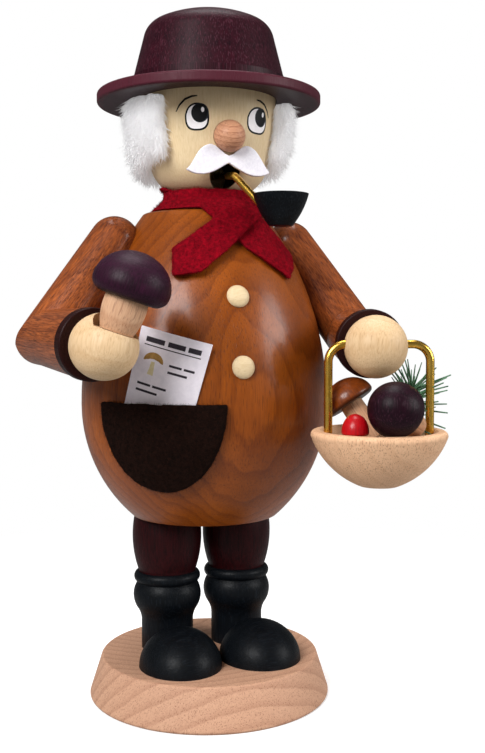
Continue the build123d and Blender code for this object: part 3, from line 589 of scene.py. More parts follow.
@dataclass(frozen=True)
class PlainFinish:
    """Paint, print, metal or plastic with a slight mottle, and its relief in millimetres."""

    name: str
    slot: str
    base: str
    worn: str
    rough: float
    metal: float = 0.0
    waves: Place = (0.6, 0.6, 0.6)
    relief: float = 0.01
    specular: float = 0.3
    mottle_band: Spot = (0.35, 0.7)
    rough_band: Spot = (0.3, 0.7)
    rough_swing: Spot = (0.85, 1.2)

    def material(self) -> Material:
        """Makes this finish.

        Returns:
            The material.
        """
        made, bench, shader = start_material(self.name)
        mottle = bench.noise(bench.place(), self.waves, detail=3.0, rough=0.6)
        worn = bench.span(mottle, *self.mottle_band)
        swing = [self.rough * change for change in self.rough_swing]
        shader_inputs = {
            "Base Color": bench.mix(worn, tint(self.base), tint(self.worn)),
            "Roughness": bench.span(mottle, *self.rough_band, *swing),
            "Metallic": self.metal,
            "Specular IOR Level": self.specular,
            "Normal": bench.bump(mottle, self.relief),
        }
        bench.feed(shader, shader_inputs)
        return made


BEECH = WoodFinish(
    "beech", "beech", "e6bc96", "c48f6b", "7a4a35", Gloss.BARE,
    spacing=3.4, wobble=5.0, rings=0.25, fibres=0.35, flecks=0.5,
)
BASE_BEECH = WoodFinish(
    "base_beech", "beech", "cfa386", "a77a61", "74452f", Gloss.BARE,
    spacing=3.2, wobble=3.0, rings=0.6, fibres=0.35, flecks=0.5,
)
NOSE_BEECH = WoodFinish(
    "nose_beech", "beech", "d49f7c", "a0654a", "7d4a35", Gloss.SATIN,
    spacing=1.3, wobble=1.2, rings=0.6, fibres=0.4, flecks=0.5,
)
STEM_BEECH = WoodFinish(
    "stem_beech", "beech", "cfa786", "ad7b5a", "744832", Gloss.BARE,
    spacing=1.8, wobble=1.5, rings=0.4, fibres=0.5, flecks=0.4,
)
LINDEN = WoodFinish(
    "linden", "linden", "e2cca6", "ccb084", "b08f60", Gloss.SATIN,
    spacing=4.0, wobble=4.0, rings=0.25, fibres=0.5, flecks=0.15,
)
HAND_LINDEN = WoodFinish(
    "hand_linden", "linden", "dcbf98", "c29c70", "9c7346", Gloss.SATIN,
    spacing=3.0, wobble=3.0, rings=0.35, fibres=0.55, flecks=0.3,
)
PLAIN = WoodFinish(
    "plain_wood", "plain_wood", "e0c394", "c49d68", "9a7145", Gloss.BARE,
    spacing=3.0, wobble=3.0, rings=0.4, fibres=0.5, flecks=0.2,
)
BODY_STAIN = WoodFinish(
    "body_stain", "golden_brown_stain", "a35414", "551f03", "321304", Gloss.LACQUER,
    spacing=2.9, wobble=15.0, rings=0.45, fibres=0.3, flecks=0.4, blotches=0.4, relief=0.05,
)
ARM_STAIN = WoodFinish(
    "arm_stain", "chestnut_stain", "ad5c2a", "4a1b09", "260d05", Gloss.LACQUER,
    spacing=2.6, wobble=5.0, rings=0.35, fibres=0.75, flecks=0.45, blotches=0.3, relief=0.1,
)
HAT_STAIN = WoodFinish(
    "hat_stain", "burgundy_stain", "3a0c1a", "11030a", "6d3a4a", Gloss.PAINT,
    spacing=3.4, wobble=4.0, rings=0.25, fibres=0.8, flecks=0.28, blotches=0.2, relief=0.12,
)
LEG_STAIN = WoodFinish(
    "leg_stain", "burgundy_stain", "30080c", "0d0203", "0b0203", Gloss.PAINT,
    spacing=2.2, wobble=3.0, rings=0.3, fibres=0.7, flecks=0.2,
)
CUFF_STAIN = WoodFinish(
    "cuff_stain", "dark_brown_stain", "2b0f0d", "0f0404", "060202", Gloss.PAINT,
    spacing=2.0, wobble=2.0, rings=0.3, fibres=0.6,
)
BLACK = WoodFinish(
    "black_paint", "black_paint", "0b0f14", "030405", "2c343c", Gloss.PAINT,
    spacing=2.4, wobble=3.0, rings=0.3, fibres=0.6, flecks=0.18, relief=0.12,
)
AUBERGINE = WoodFinish(
    "aubergine_stain", "aubergine_stain", "351529", "14060e", "0c0408", Gloss.PAINT,
    spacing=2.0, wobble=2.0, rings=0.25, fibres=0.6, flecks=0.3, relief=0.08,
)
BALL_STAIN = WoodFinish(
    "ball_stain", "aubergine_stain", "240a17", "0b0307", "4c2b3a", Gloss.PAINT,
    spacing=1.6, wobble=2.0, rings=0.4, fibres=0.6, flecks=0.3, relief=0.08,
)
TAN = WoodFinish(
    "tan_stain", "tan_stain", "863f12", "451b06", "280e04", Gloss.LACQUER,
    spacing=2.0, wobble=2.0, rings=0.35, fibres=0.55, flecks=0.3,
)
RED = WoodFinish(
    "red_paint", "red_paint", "b80612", "8c050d", "60040a", Gloss.LACQUER,
    spacing=2.0, wobble=2.0, rings=0.2, fibres=0.5,
)
WHITE_FELT = FeltFinish(
    "white_felt", "white_felt", "f1eef4", "e3dfe8", "ffffff",
    lint_share=0.3, fineness=1.6, relief=0.05, sheen=0.2,
)
# The fur's glow is part subsurface scatter and part painted glow: its emission brightens the fur in
# place of light that its strands shade from each other.
WHITE_FUR = FeltFinish(
    "white_fur", "white_fur", "ffffff", "faf7fb", "ffffff",
    lint_share=0.3, fineness=1.2, relief=0.03, sheen=0.6, glow=0.8,
)
CRIMSON_FELT = FeltFinish(
    "crimson_felt", "crimson_felt", "930519", "5a030e", "ab1530",
    lint_share=0.3, fineness=1.3, relief=0.16, sheen=0.04,
)
BROWN_FELT = FeltFinish(
    "brown_felt", "brown_felt", "1f0f0a", "0c0604", "4a3126",
    lint_share=0.4, fineness=1.3, relief=0.16, sheen=0.03,
)
BRASS = PlainFinish(
    "brass_wire", "brass_wire", "f0c25a", "cc9c38", 0.27,
    metal=1.0, waves=(0.4, 0.4, 0.4), relief=0.004, specular=0.5,
)
NEEDLE = PlainFinish(
    "green_needles", "green_needles", "2a5a3a", "7ba584", 0.6, waves=(0.35, 0.35, 0.35)
)
TWIG_WIRE = PlainFinish("twig_wire", "green_needles", "3a2c1e", "22402a", 0.7)
TINNED = PlainFinish("tinned_sheet", "tinned_sheet", "b9b9b6", "8d8a84", 0.4, metal=1.0)
CARD = PlainFinish("card_stock", "card_stock", "f6eff7", "ece5ee", 0.75)
INK = PlainFinish("print_ink", "card_stock", "2a232c", "3a323c", 0.7)
CAP_INK = PlainFinish("print_cap_ink", "card_stock", "b98f4e", "8f6a34", 0.7)
STEM_INK = PlainFinish("print_stem_ink", "card_stock", "e8dcb6", "d8c896", 0.7)
EYE_BLACK = PlainFinish("eye_black", "black_paint", "050506", "0a0b0d", 0.4, specular=0.15)
EYE_WHITE = PlainFinish("eye_white", "linden", "f8f3f4", "f0ebed", 0.45)
EYE_GREY = PlainFinish("eye_grey", "black_paint", "1c2026", "2b3037", 0.4, specular=0.15)


def add_piece(name: str, mesh: bpy.types.Mesh) -> Piece:
    """Puts a mesh in the scene.

    Args:
        name: the piece's name, which its mesh takes too.
        mesh: its mesh.

    Returns:
        The new piece.
    """
    mesh.name = name
    piece = bpy.data.objects.new(name, mesh)
    bpy.context.scene.collection.objects.link(piece)
    return piece


def add_drawn(name: str, work: bmesh.types.BMesh, material: Material) -> Piece:
    """Turns a drawn mesh into a piece.

    Args:
        name: the piece's name.
        work: the mesh that was drawn.
        material: the piece's finish.

    Returns:
        The new piece.
    """
    mesh = bpy.data.meshes.new(name)
    work.to_mesh(mesh)
    mesh.materials.append(material)
    return add_piece(name, mesh)


def bake_modifiers(piece: Piece) -> Piece:
    """Applies all modifiers of a piece and leaves a plain smooth mesh.

    Args:
        piece: the piece with its modifiers.

    Returns:
        The same piece with its new mesh.
    """
    bpy.context.view_layer.update()
    seen = piece.evaluated_get(bpy.context.evaluated_depsgraph_get())
    mesh = bpy.data.meshes.new_from_object(seen)
    piece.modifiers.clear()
    old = piece.data
    piece.data = mesh
    mesh.name = piece.name
    bpy.data.meshes.remove(old)
    mesh.polygons.foreach_set("use_smooth", [True] * len(mesh.polygons))
    return piece


def rumple(piece: Piece, waves: float, depth: float) -> None:
    """Moves a piece's vertices along their normals by smooth noise.

    Args:
        piece: the piece.
        waves: waves per metre.
        depth: the most that a vertex moves, in metres.
    """
    vertices = piece.data.vertices
    fall, spread, layers = 0.9, 2.0, 3
    heights = [noise.fractal(v.co * waves, fall, spread, layers) for v in vertices]
    shifts = [v.normal * height * depth for v, height in zip(vertices, heights)]
    for vertex, shift in zip(vertices, shifts):
        vertex.co += shift


def fur_tree() -> Tree:
    """Builds the tree that covers a surface with bent, pointed strands.

    Returns:
        The tree.
    """
    numbers = ("Density", "Length", "Radius", "Curl", "Lift", "Tousle", "Wave")
    bench, given, result = new_group(
        "strand_cover",
        "Geometry",
        {"Geometry": "Geometry", **dict.fromkeys(numbers, "Float")}
        | {"Droop": "Vector", "Seed": "Int", "Keep Base": "Bool", "Finish": "Material"},
        {"Geometry": "Geometry"},
    )
    here = bench.value("GeometryNodeInputPosition")
    surface, seed = given["Geometry"], given["Seed"]
    inputs = {"Mesh": surface, "Density": given["Density"], "Seed": seed}
    roots = bench.add("GeometryNodeDistributePointsOnFaces", inputs).outputs
    wild = bench.value("ShaderNodeTexNoise", {"Vector": here, "Scale": given["Wave"]}, "Color")
    tangle = bench.scale(bench.vector("SUBTRACT", wild, (0.5, 0.5, 0.5)), given["Tousle"])
    way = bench.vector("ADD", bench.scale(roots["Normal"], given["Lift"]), given["Droop"])
    way = bench.vector("ADD", way, tangle)
    aim = bench.value("FunctionNodeAlignRotationToVector", {"Vector": way}, axis="Z")
    inputs = {"Vertices": 3, "Side Segments": 3, "Radius Top": 0.0}
    inputs |= {"Radius Bottom": given["Radius"], "Depth": given["Length"]}
    strand = bench.value("GeometryNodeMeshCone", inputs, "Mesh", fill_type="NONE")
    share = bench.sum("DIVIDE", bench.split(here)[2], given["Length"])
    lean = bench.sum("MULTIPLY", bench.sum("MULTIPLY", share, share), given["Curl"])
    inputs = {"Geometry": strand, "Offset": bench.join_up(X=lean)}
    bent = bench.value("GeometryNodeSetPosition", inputs)
    strands = bench.place_out(roots["Points"], bent, aim, bench.random(*STRAND_SIZES, seed))
    sway = (-STRAND_SWAY, -STRAND_SWAY, 0), (STRAND_SWAY, STRAND_SWAY, TURN)
    spin = bench.random(*sway, seed)
    inputs = {"Instances": strands, "Rotation": spin}
    fur = bench.realize(bench.value("GeometryNodeRotateInstances", inputs))
    inputs = {"Switch": given["Keep Base"], "True": surface}
    kept = bench.value("GeometryNodeSwitch", inputs, input_type="GEOMETRY")
    bench.feed(result, {0: bench.coat(bench.join(fur, kept), given["Finish"])})
    return bench.tree


def sprig_tree() -> Tree:
    """Builds the tree that sets needles round a straight twig along Z.

    Returns:
        The tree.
    """
    numbers = ("Start", "Step", "Length", "Radius", "Low Tilt", "Top Tilt")
    bench, given, result = new_group(
        "fir_sprig",
        "Geometry",
        {"Geometry": "Geometry", "Needles": "Int", **dict.fromkeys(numbers, "Float")}
        | {"Seed": "Int", "Finish": "Material"},
        {"Geometry": "Geometry"},
    )
    count, seed = given["Needles"], given["Seed"]
    inputs = {
        "Count": count,
        "Start Location": bench.join_up(Z=given["Start"]),
        "Offset": bench.join_up(Z=given["Step"]),
    }
    line = bench.value("GeometryNodeMeshLine", inputs)
    inputs = {
        "Vertices": 5,
        "Side Segments": 3,
        "Radius Bottom": given["Radius"],
        "Radius Top": bench.sum("MULTIPLY", given["Radius"], NEEDLE_TIP),
        "Depth": given["Length"],
    }
    needle = bench.value("GeometryNodeMeshCone", inputs, "Mesh")
    index = bench.value("GeometryNodeInputIndex")
    spread = bench.sum("SUBTRACT", given["Top Tilt"], given["Low Tilt"])
    share = bench.sum("DIVIDE", index, count)
    tilt = bench.sum("MULTIPLY_ADD", spread, share, given["Low Tilt"])
    tilt = bench.sum("ADD", tilt, bench.random(-NEEDLE_SWAY, NEEDLE_SWAY, seed))
    euler = bench.join_up(X=tilt, Z=bench.sum("MULTIPLY", index, LEAF_ANGLE))
    size = bench.random(*NEEDLE_SIZES, seed)
    needles = bench.realize(bench.place_out(line, needle, euler, size))
    sprig = bench.join(bench.coat(needles, given["Finish"]), given["Geometry"])
    bench.feed(result, {0: sprig})
    return bench.tree


def grow(piece: Piece, tree: Tree, **values: Any) -> Piece:
    """Runs a Geometry Nodes tree on a piece and keeps the result as a plain mesh.

    Args:
        piece: the piece that the tree starts from.
        tree: the tree.
        values: the tree's inputs by name, with _ for each space.

    Returns:
        The same piece with its new mesh.
    """
    modifier = piece.modifiers.new(tree.name, "NODES")
    modifier.node_group = tree
    for item in tree.interface.items_tree:
        key = item.name.replace(" ", "_")
        if item.item_type == "SOCKET" and item.in_out == "INPUT" and key in values:
            modifier[item.identifier] = values[key]
    return bake_modifiers(piece)


@dataclass(frozen=True)
class Softness:
    """How a solid turns soft: it is remeshed, smoothed in rounds and then rumpled.

    Grain and depth are in millimetres, the waves are per metre, and the pull is the share of the
    way to its neighbours' middle that a vertex goes in each round.
    """

    grain: float
    rounds: int
    waves: float
    depth: float
    pull: float = 0.5


@dataclass(frozen=True)
class Pile:
    """The strands that cover a surface.

    Length, radius and curl are in millimetres, the density is per square metre and the wave per
    metre. Lift, droop and tousle weigh the ways that a strand follows.
    """

    density: float
    length: float
    radius: float
    curl: float
    lift: float
    droop: float
    tousle: float
    wave: float


class Workshop:
    """Holds the loaded frame and dresses or replaces its nodes."""

    lint: Pile = Pile(4.5e6, 0.8, 0.035, 0.35, lift=0.4, droop=0.1, tousle=2.4, wave=900.0)

    def __init__(self, frame: dict, effects: Effects) -> None:
        """Keeps what the sub-assemblies share.

        Args:
            frame: the frame as it was loaded.
            effects: the shared shader groups.
        """
        self.nodes = frame["nodes"]
        self.effects = effects
        self.fur = fur_tree()
        bodies = frame["record"]["behaviour"]["bodies"]
        self.carrier = {node: body for body, nodes in bodies.items() for node in nodes}

    def dress(self, node: str, material: Material) -> Piece:
        """Gives a CAD node its material and smooth shading.

        Args:
            node: the CAD node's name.
            material: its finish.

        Returns:
            The node's object.
        """
        piece = self.nodes[node]
        mesh = piece.data
        mesh.materials.clear()
        mesh.materials.append(material)
        count = len(mesh.polygons)
        mesh.polygons.foreach_set("material_index", [0] * count)
        mesh.polygons.foreach_set("use_smooth", [True] * count)
        custom = mesh.attributes.get("custom_normal")
        if custom:
            mesh.attributes.remove(custom)
        piece.modifiers.new("weld", "WELD").merge_threshold = WELD
        piece.modifiers.new("edges", "EDGE_SPLIT").split_angle = SHARP_EDGE
        piece.modifiers.new("normals", "WEIGHTED_NORMAL").keep_sharp = True
        log.info("%s: CAD node, finish %s", node, material.name)
        return piece

    def wood(
        self,
        node: str,
        finish: WoodFinish,
        pith: Sequence[float],
        fibre: Sequence[float] = UPRIGHT,
        shade: Optional[Shade] = None,
    ) -> Piece:
        """Dresses a wooden node.

        Args:
            node: the CAD node's name.
            finish: its wood.
            pith: a point on the middle of its growth rings, in millimetres.
            fibre: the direction of its fibres.
            shade: a second colour over part of it.

        Returns:
            The node's object.
        """
        along = Vector(fibre).normalized()
        material = finish.material(self.effects, node, Vector(pith), along, shade)
        return self.dress(node, material)

    def soften(
        self,
        node: str,
        name: str,
        softness: Softness,
        shape: Optional[Callable[[Piece], None]] = None,
    ) -> Piece:
        """Makes a soft piece from a node's solid.

        Args:
            node: the CAD node's name.
            name: the new piece's name.
            softness: how the solid turns soft.
            shape: what moves its vertices before it is rumpled.

        Returns:
            The new piece, with its modifiers applied.
        """
        mesh = self.nodes[node].data.copy()
        work = bmesh.new()
        work.from_mesh(mesh)
        bmesh.ops.remove_doubles(work, verts=work.verts, dist=WELD)
        work.to_mesh(mesh)
        work.free()
        mesh.materials.clear()
        piece = add_piece(name, mesh)
        remesh = piece.modifiers.new("even", "REMESH")
        remesh.mode = "VOXEL"
        remesh.voxel_size = softness.grain * MM
        smooth = piece.modifiers.new("round", "SMOOTH")
        smooth.iterations = softness.rounds
        smooth.factor = softness.pull
        bake_modifiers(piece)
        if shape:
            shape(piece)
        rumple(piece, softness.waves, softness.depth * MM)
        return piece

    def felt(
        self,
        node: str,
        finish: FeltFinish,
        softness: Softness,
        lint_seed: Optional[int] = None,
        shape: Optional[Callable[[Piece], None]] = None,
    ) -> Piece:
        """Makes a felt piece in place of its solid.

        Args:
            node: the CAD node's name.
            finish: its felt.
            softness: how the solid turns soft.
            lint_seed: the seed of the loose fibres, for felt that has them.
            shape: what moves its vertices before it is rumpled.

        Returns:
            The felt piece.
        """
        cloth = self.soften(node, f"{node}_felt", softness, shape)
        felt = finish.material(self.effects)
        cloth.data.materials.append(felt)
        self.settle(cloth, node, finish.slot)
        if lint_seed is not None:
            lint = add_piece(f"{node}_lint", cloth.data.copy())
            self.cover(lint, self.lint, lint_seed, felt)
            self.settle(lint, node, finish.slot, instead=False)
        return cloth

    def cover(
        self, piece: Piece, pile: Pile, seed: int, material: Material, keep_base: bool = False
    ) -> None:
        """Covers a piece with strands.

        Args:
            piece: the piece whose surface they stand on.
            pile: the strands.
            seed: the seed of their places.
            material: their material.
            keep_base: whether the surface stays under them.
        """
        grow(
            piece,
            self.fur,
            Density=pile.density,
            Length=pile.length * MM,
            Radius=pile.radius * MM,
            Curl=pile.curl * MM,
            Lift=pile.lift,
            Droop=(0, 0, -pile.droop),
            Tousle=pile.tousle,
            Wave=pile.wave,
            Seed=seed,
            Keep_Base=keep_base,
            Finish=material,
        )

    def settle(self, piece: Piece, node: str, finish_slot: str, instead: bool = True) -> None:
        """Lets a piece ride with a node's body.

        Args:
            piece: the made piece.
            node: the CAD node's name.
            finish_slot: the piece's finish slot, which is not used.
            instead: whether the piece takes the node's place.
        """
        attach(piece, self.carrier[node])
        if instead:
            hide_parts(node)
        log.info("%s: made piece on %s", piece.name, self.carrier[node])


class Printer:
    """Lays thin closed shapes of paint or ink on a node, in the drawing's millimetres.

    A place of the drawing is so far to the viewer's right and so far up. A lift is in metres.
    """

    sunk: float = 0.02 * MM
    stride: float = 0.5

    def __init__(self, shop: Workshop, node: str, ray: Ray) -> None:
        """Keeps the surface that is drawn on.

        Args:
            shop: the workshop that holds the node.
            node: the CAD node's name.
            ray: the rule that turns a place of the drawing into a ray onto the node.
        """
        mesh = shop.nodes[node].data
        faces = [face.vertices for face in mesh.polygons]
        self.surface = BVHTree.FromPolygons([vertex.co for vertex in mesh.vertices], faces)
        self.shop = shop
        self.node = node
        self.ray = ray
        self.work = bmesh.new()

    def pair(self, across: float, rise: float, lift: float) -> tuple:
        """Makes the two vertices of the shape at a place of the drawing.

        Args:
            across: the place to the right.
            rise: the place upwards.
            lift: the height over the surface.

        Returns:
            The upper and the lower vertex.
        """
        origin, way = self.ray(across, rise)
        hit = self.surface.ray_cast(origin, way)[0]
        if hit is None:
            raise ValueError(f"the drawing misses its surface at {across:.2f}, {rise:.2f}")
        vertices = self.work.verts
        return vertices.new(hit - way * lift), vertices.new(hit + way * self.sunk)

    def blob(self, outline: Sequence[Spot], lift: float, rings: int = 4) -> None:
        """Adds a filled shape that is seen whole from its middle.

        Args:
            outline: its places in order.
            lift: its height over the surface.
            rings: how many rings of faces fill it.
        """
        count = len(outline)
        middle = tuple(sum(place[axis] for place in outline) / count for axis in (0, 1))
        face = self.work.faces.new
        centre = self.pair(*middle, lift)
        last: list = []
        for ring in range(1, rings + 1):
            share = ring / rings
            row = [
                self.pair(*(m + (p - m) * share for p, m in zip(place, middle)), lift)
                for place in outline
            ]
            for at in range(count):
                after = (at + 1) % count
                if last:
                    face((last[at][0], row[at][0], row[after][0], last[after][0]))
                    face((last[after][1], row[after][1], row[at][1], last[at][1]))
                else:
                    face((centre[0], row[at][0], row[after][0]))
                    face((centre[1], row[after][1], row[at][1]))
            last = row
        for at in range(count):
            after = (at + 1) % count
            face((last[at][0], last[at][1], last[after][1], last[after][0]))

    def band(self, path: Sequence[Spot], widths: Sequence[float], lift: float) -> None:
        """Adds a stroke along a path.

        Args:
            path: its places in order.
            widths: its width at each place.
            lift: its height over the surface.
        """
        points: list[Place] = []
        for at in range(len(path) - 1):
            (x0, z0), (x1, z1) = path[at], path[at + 1]
            steps = max(1, math.ceil(math.hypot(x1 - x0, z1 - z0) / self.stride))
            for step in range(steps + (at == len(path) - 2)):
                share = step / steps
                wide = widths[at] + (widths[at + 1] - widths[at]) * share
                points.append((x0 + (x1 - x0) * share, z0 + (z1 - z0) * share, wide))
        face = self.work.faces.new
        last = None
        for at, (x, z, wide) in enumerate(points):
            before, after = points[max(0, at - 1)], points[min(len(points) - 1, at + 1)]
            along = Vector((after[0] - before[0], after[1] - before[1])).normalized() * wide / 2
            left = self.pair(x - along.y, z + along.x, lift)
            right = self.pair(x + along.y, z - along.x, lift)
            if last:
                face((last[0][0], last[1][0], right[0], left[0]))
                face((last[0][1], left[1], right[1], last[1][1]))
                face((last[0][0], left[0], left[1], last[0][1]))
                face((last[1][0], last[1][1], right[1], right[0]))
            else:
                face((left[0], left[1], right[1], right[0]))
            last = (left, right)
        face((last[0][0], last[1][0], last[1][1], last[0][1]))

    def finish(self, name: str, finish: PlainFinish) -> None:
        """Turns what was drawn into a piece that rides with the node.

        Args:
            name: the piece's name.
            finish: its paint or ink.
        """
        bmesh.ops.recalc_face_normals(self.work, faces=self.work.faces)
        piece = add_drawn(name, self.work, finish.material())
        self.work.clear()
        self.shop.settle(piece, self.node, finish.slot, instead=False)


def oval(across: float, rise: float, width: float, height: float, half: bool = False) -> list[Spot]:
    """Gives the outline of an oval or of its upper half.

    Args:
        across: its middle to the right.
        rise: its middle upwards.
        width: its half width.
        height: its half height.
        half: whether only the upper half is drawn.

    Returns:
        Its places in order.
    """
    steps, whole = (OVAL_STEPS // 2, TURN / 2) if half else (OVAL_STEPS, TURN)
    turns = [whole * at / steps for at in range(steps + half)]
    return [(across + width * math.cos(turn), rise + height * math.sin(turn)) for turn in turns]


@dataclass
class Stand:
    """The base with shoes, boots, trouser legs, plug and incense dish."""

    shop: Workshop
    base_pith: Place = (-3.0, 46.0, 0.0)
    base_fibre: Place = (0.0, -0.42, 0.9)
    boot_pith: Place = (10.0, 6.0, 0.0)
    shoe_fibre: Place = (1.0, 0.0, 0.1)
    leg_pith: Place = (4.0, 14.0, 0.0)
    plug_pith: Place = (8.0, 12.0, 0.0)

    def build(self) -> None:
        """Dresses every piece of the stand."""
        shop = self.shop
        shop.wood("base_plate", BASE_BEECH, self.base_pith, self.base_fibre)
        for side, sign in SIDES:
            boot_pith = mirrored(self.boot_pith, sign)
            shop.wood(f"{side}_shoe", BLACK, boot_pith, self.shoe_fibre)
            shop.wood(f"{side}_boot", BLACK, boot_pith)
            shop.wood(f"{side}_trouser_leg", LEG_STAIN, mirrored(self.leg_pith, sign))
        shop.wood("stand_plug", PLAIN, self.plug_pith)
        tinned = TINNED.material()
        shop.dress("incense_dish", tinned)
        shop.dress("dish_tack", tinned)


@dataclass
class Trunk:
    """The hollow body with its buttons and felt pocket."""

    shop: Workshop
    body_pith: Place = (-9.0, 36.0, 0.0)
    button_pith: Place = (3.0, -20.0, 0.0)
    button_fibre: Place = (1.0, 0.2, 0.1)
    pocket_softness: Softness = Softness(grain=0.45, rounds=3, waves=320, depth=0.16)
    pocket_area: float = 0.00074

    def build(self) -> None:
        """Dresses the body and makes the felt pocket."""
        shop = self.shop
        shop.wood("body_shell", BODY_STAIN, self.body_pith)
        for name in ("upper_button", "lower_button"):
            shop.wood(name, LINDEN, self.button_pith, self.button_fibre)
        pocket = shop.felt("pocket", BROWN_FELT, self.pocket_softness, lint_seed=4)


@dataclass(frozen=True)
class Eye:
    """One painted eye: its azimuth, its half width and how far its pupil looks aside."""

    side: str
    sign: int
    azimuth: float
    half_width: float
    look: float


@dataclass
class Head:
    """The head with its nose, hat, fur hair, felt moustache, eyes and eyebrows."""

    shop: Workshop
    middle: Spot = HEAD_MIDDLE
    face_radius: float = 18.9
    ray_start: float = 60.0
    mouth_rise: float = 151.7
    mouth_radius: float = 4.2
    soot_and_shade_edge: Spot = (0.25, 0.05)
    soot_and_shade: str = "120a07"
    nose_pith: Place = (0.9, -6.0, 134.0)
    nose_fibre: Place = (1.0, 0.0, 0.06)
    hat_edge: Shade = Shade(Zone.RADIUS, 30.8, 32.4, "4c1f2a")
    hair_softness: Softness = Softness(grain=0.9, rounds=6, waves=130, depth=1.0)
    hair_pile: Pile = Pile(3.6e6, 3.0, 0.15, 1.2, lift=0.42, droop=0.8, tousle=1.5, wave=330.0)
    hair_seed: int = 11
    hair_inside: float = 19.6
    hair_pull: float = 0.72
    hair_hang: float = 3.6
    hang_start: float = -0.35
    hang_width: float = 0.9
    hang_rise: float = 165.0
    hang_height: float = 9.0
    moustache_softness: Softness = Softness(grain=0.28, rounds=4, waves=400, depth=0.06)
    paint: float = 0.02 * MM
    line: float = 0.5
    eyes: tuple[Eye, Eye] = (Eye("left", 1, 29.6, 4.1, 1.15), Eye("right", -1, -27.2, 3.45, 0.9))
    eye_rise: float = 166.4
    eye_half_height: float = 3.75
    eye_points: int = 40
    foot_power: float = 0.72
    arch_power: float = 0.95
    arch_start: float = 0.3
    arch_width: float = 0.97
    iris: Oval = (0.0, 1.0, 2.45, 2.6)
    pupil: Oval = (-0.12, 0.98, 2.15, 2.35)
    glint: Oval = (0.75, 1.85, 0.45, 0.68)
    brow_azimuth: float = 29.5
    brow: tuple[Spot, ...] = ((5.3, 1.6), (4.2, 3.3), (2.5, 4.8), (0.5, 5.5), (-1.0, 5.6))
    brow_widths: tuple[float, ...] = (0.25, 0.5, 0.6, 0.55, 0.3)

    def build(self) -> None:
        """Makes and dresses every piece of the head."""
        shop = self.shop
        self.dress_head()
        shop.wood("nose", NOSE_BEECH, self.nose_pith, self.nose_fibre)
        shop.wood("hat", HAT_STAIN, (*self.middle, 0.0), UPRIGHT, self.hat_edge)
        self.build_hair()
        shop.felt("moustache", WHITE_FELT, self.moustache_softness)
        for eye in self.eyes:
            self.build_eye(eye)
            self.build_brow(eye)

    def dress_head(self) -> None:
        """Dresses the head, with the mouth's bore sooty and in painted shade, and grain along the
        head's axis.
        """
        middle = (*self.middle, self.mouth_rise)
        head = self.shop.wood("head", LINDEN, middle)
        bench = NodeBench(head.data.materials[0].node_tree)
        shader = bench.tree.nodes["Principled BSDF"]
        wood = shader.inputs["Base Color"].links[0].from_socket
        place = bench.place()
        away = bench.vector("MULTIPLY", bench.vector("SUBTRACT", place, middle), (1, 0, 1))
        # The mouth's bore is painted near black on the face's side: partly sooty from the smoke,
        # partly painted shade of the hollow.
        edge = [self.mouth_radius + more for more in self.soot_and_shade_edge]
        front = bench.sum("LESS_THAN", bench.split(place)[1], 0.0)
        soot_and_shade = bench.sum("MULTIPLY", bench.span(bench.length(away), *edge), front)
        bench.feed(shader, {"Base Color": bench.mix(soot_and_shade, wood, tint(self.soot_and_shade))})

    def build_hair(self) -> None:
        """Makes the fluffy strip of fur from temple to temple."""
        shop = self.shop
        hair = shop.soften("hair_strip", "hair_fur", self.hair_softness, self.shape_hair)
        white = WHITE_FUR.material(shop.effects)
        shop.cover(hair, self.hair_pile, self.hair_seed, white, keep_base=True)
        shop.settle(hair, "hair_strip", WHITE_FUR.slot)

    def shape_hair(self, hair: Piece) -> None:
        """Draws the fur's base in towards the head and lets its lower edge hang at the back.

        Args:
            hair: the fur's base.
        """
        middle = Vector((*self.middle, 0)) * MM
        inside = self.hair_inside * MM
        for vertex in hair.data.vertices:
            out = Vector((vertex.co.x - middle.x, vertex.co.y - middle.y, 0))
            near = inside + (out.length - inside) * self.hair_pull
            out = out.normalized()
            back = share_of(out.y - self.hang_start, self.hang_width)
            low = share_of(self.hang_rise * MM - vertex.co.z, self.hang_height * MM)
            hung = vertex.co.z - self.hair_hang * MM * back * low
            vertex.co = middle + out * near + UP * hung

    def printer(self, azimuth: float, rise: float) -> Printer:
        """Gives a printer for a place of the face.

        Args:
            azimuth: the place's direction from the head's middle, in degrees.
            rise: its height.

        Returns:
            The printer.
        """
        middle = Vector((*self.middle, 0)) * MM

        def ray(across: float, above: float) -> tuple[Vector, Vector]:
            """Turns a place on the face into a ray to the head's axis."""
            out = outward(azimuth + math.degrees(across / self.face_radius))
            return middle + UP * (rise + above) * MM + out * self.ray_start * MM, -out

        return Printer(self.shop, "head", ray)

    def eye_outline(self, half_width: float, half_height: float) -> list[Spot]:
        """Gives an eye's outline: an arch above and a flatter, rounded foot.

        Args:
            half_width: half of the eye's width.
            half_height: half of its height.

        Returns:
            Its places in order.
        """
        points = []
        for at in range(self.eye_points):
            turn = TURN * at / self.eye_points
            across, rise = math.cos(turn), math.sin(turn)
            power = self.foot_power if rise < 0 else self.arch_power
            narrow = 1.0 if rise < self.arch_start else self.arch_width
            x, z = (math.copysign(abs(part) ** power, part) for part in (across, rise))
            points.append((half_width * x * narrow, half_height * z))
        return points

    def build_eye(self, eye: Eye) -> None:
        """Paints one eye: outline, white, iris, pupil and glint, each on top of the last.

        Args:
            eye: the eye.
        """
        printer = self.printer(eye.azimuth, self.eye_rise)
        wide, high, line = eye.half_width, self.eye_half_height, self.line
        layers = [
            ("outline", EYE_BLACK, self.eye_outline(wide, high)),
            ("white", EYE_WHITE, self.eye_outline(wide - line, high - line)),
        ]
        for part, finish, (across, *rest) in (
            ("iris", EYE_GREY, self.iris),
            ("pupil", EYE_BLACK, self.pupil),
            ("glint", EYE_WHITE, self.glint),
        ):
            layers.append((part, finish, oval(eye.look + across, *rest)))
        for level, (part, finish, outline) in enumerate(layers, start=1):
            printer.blob(outline, self.paint * level)
            printer.finish(f"{eye.side}_eye_{part}", finish)

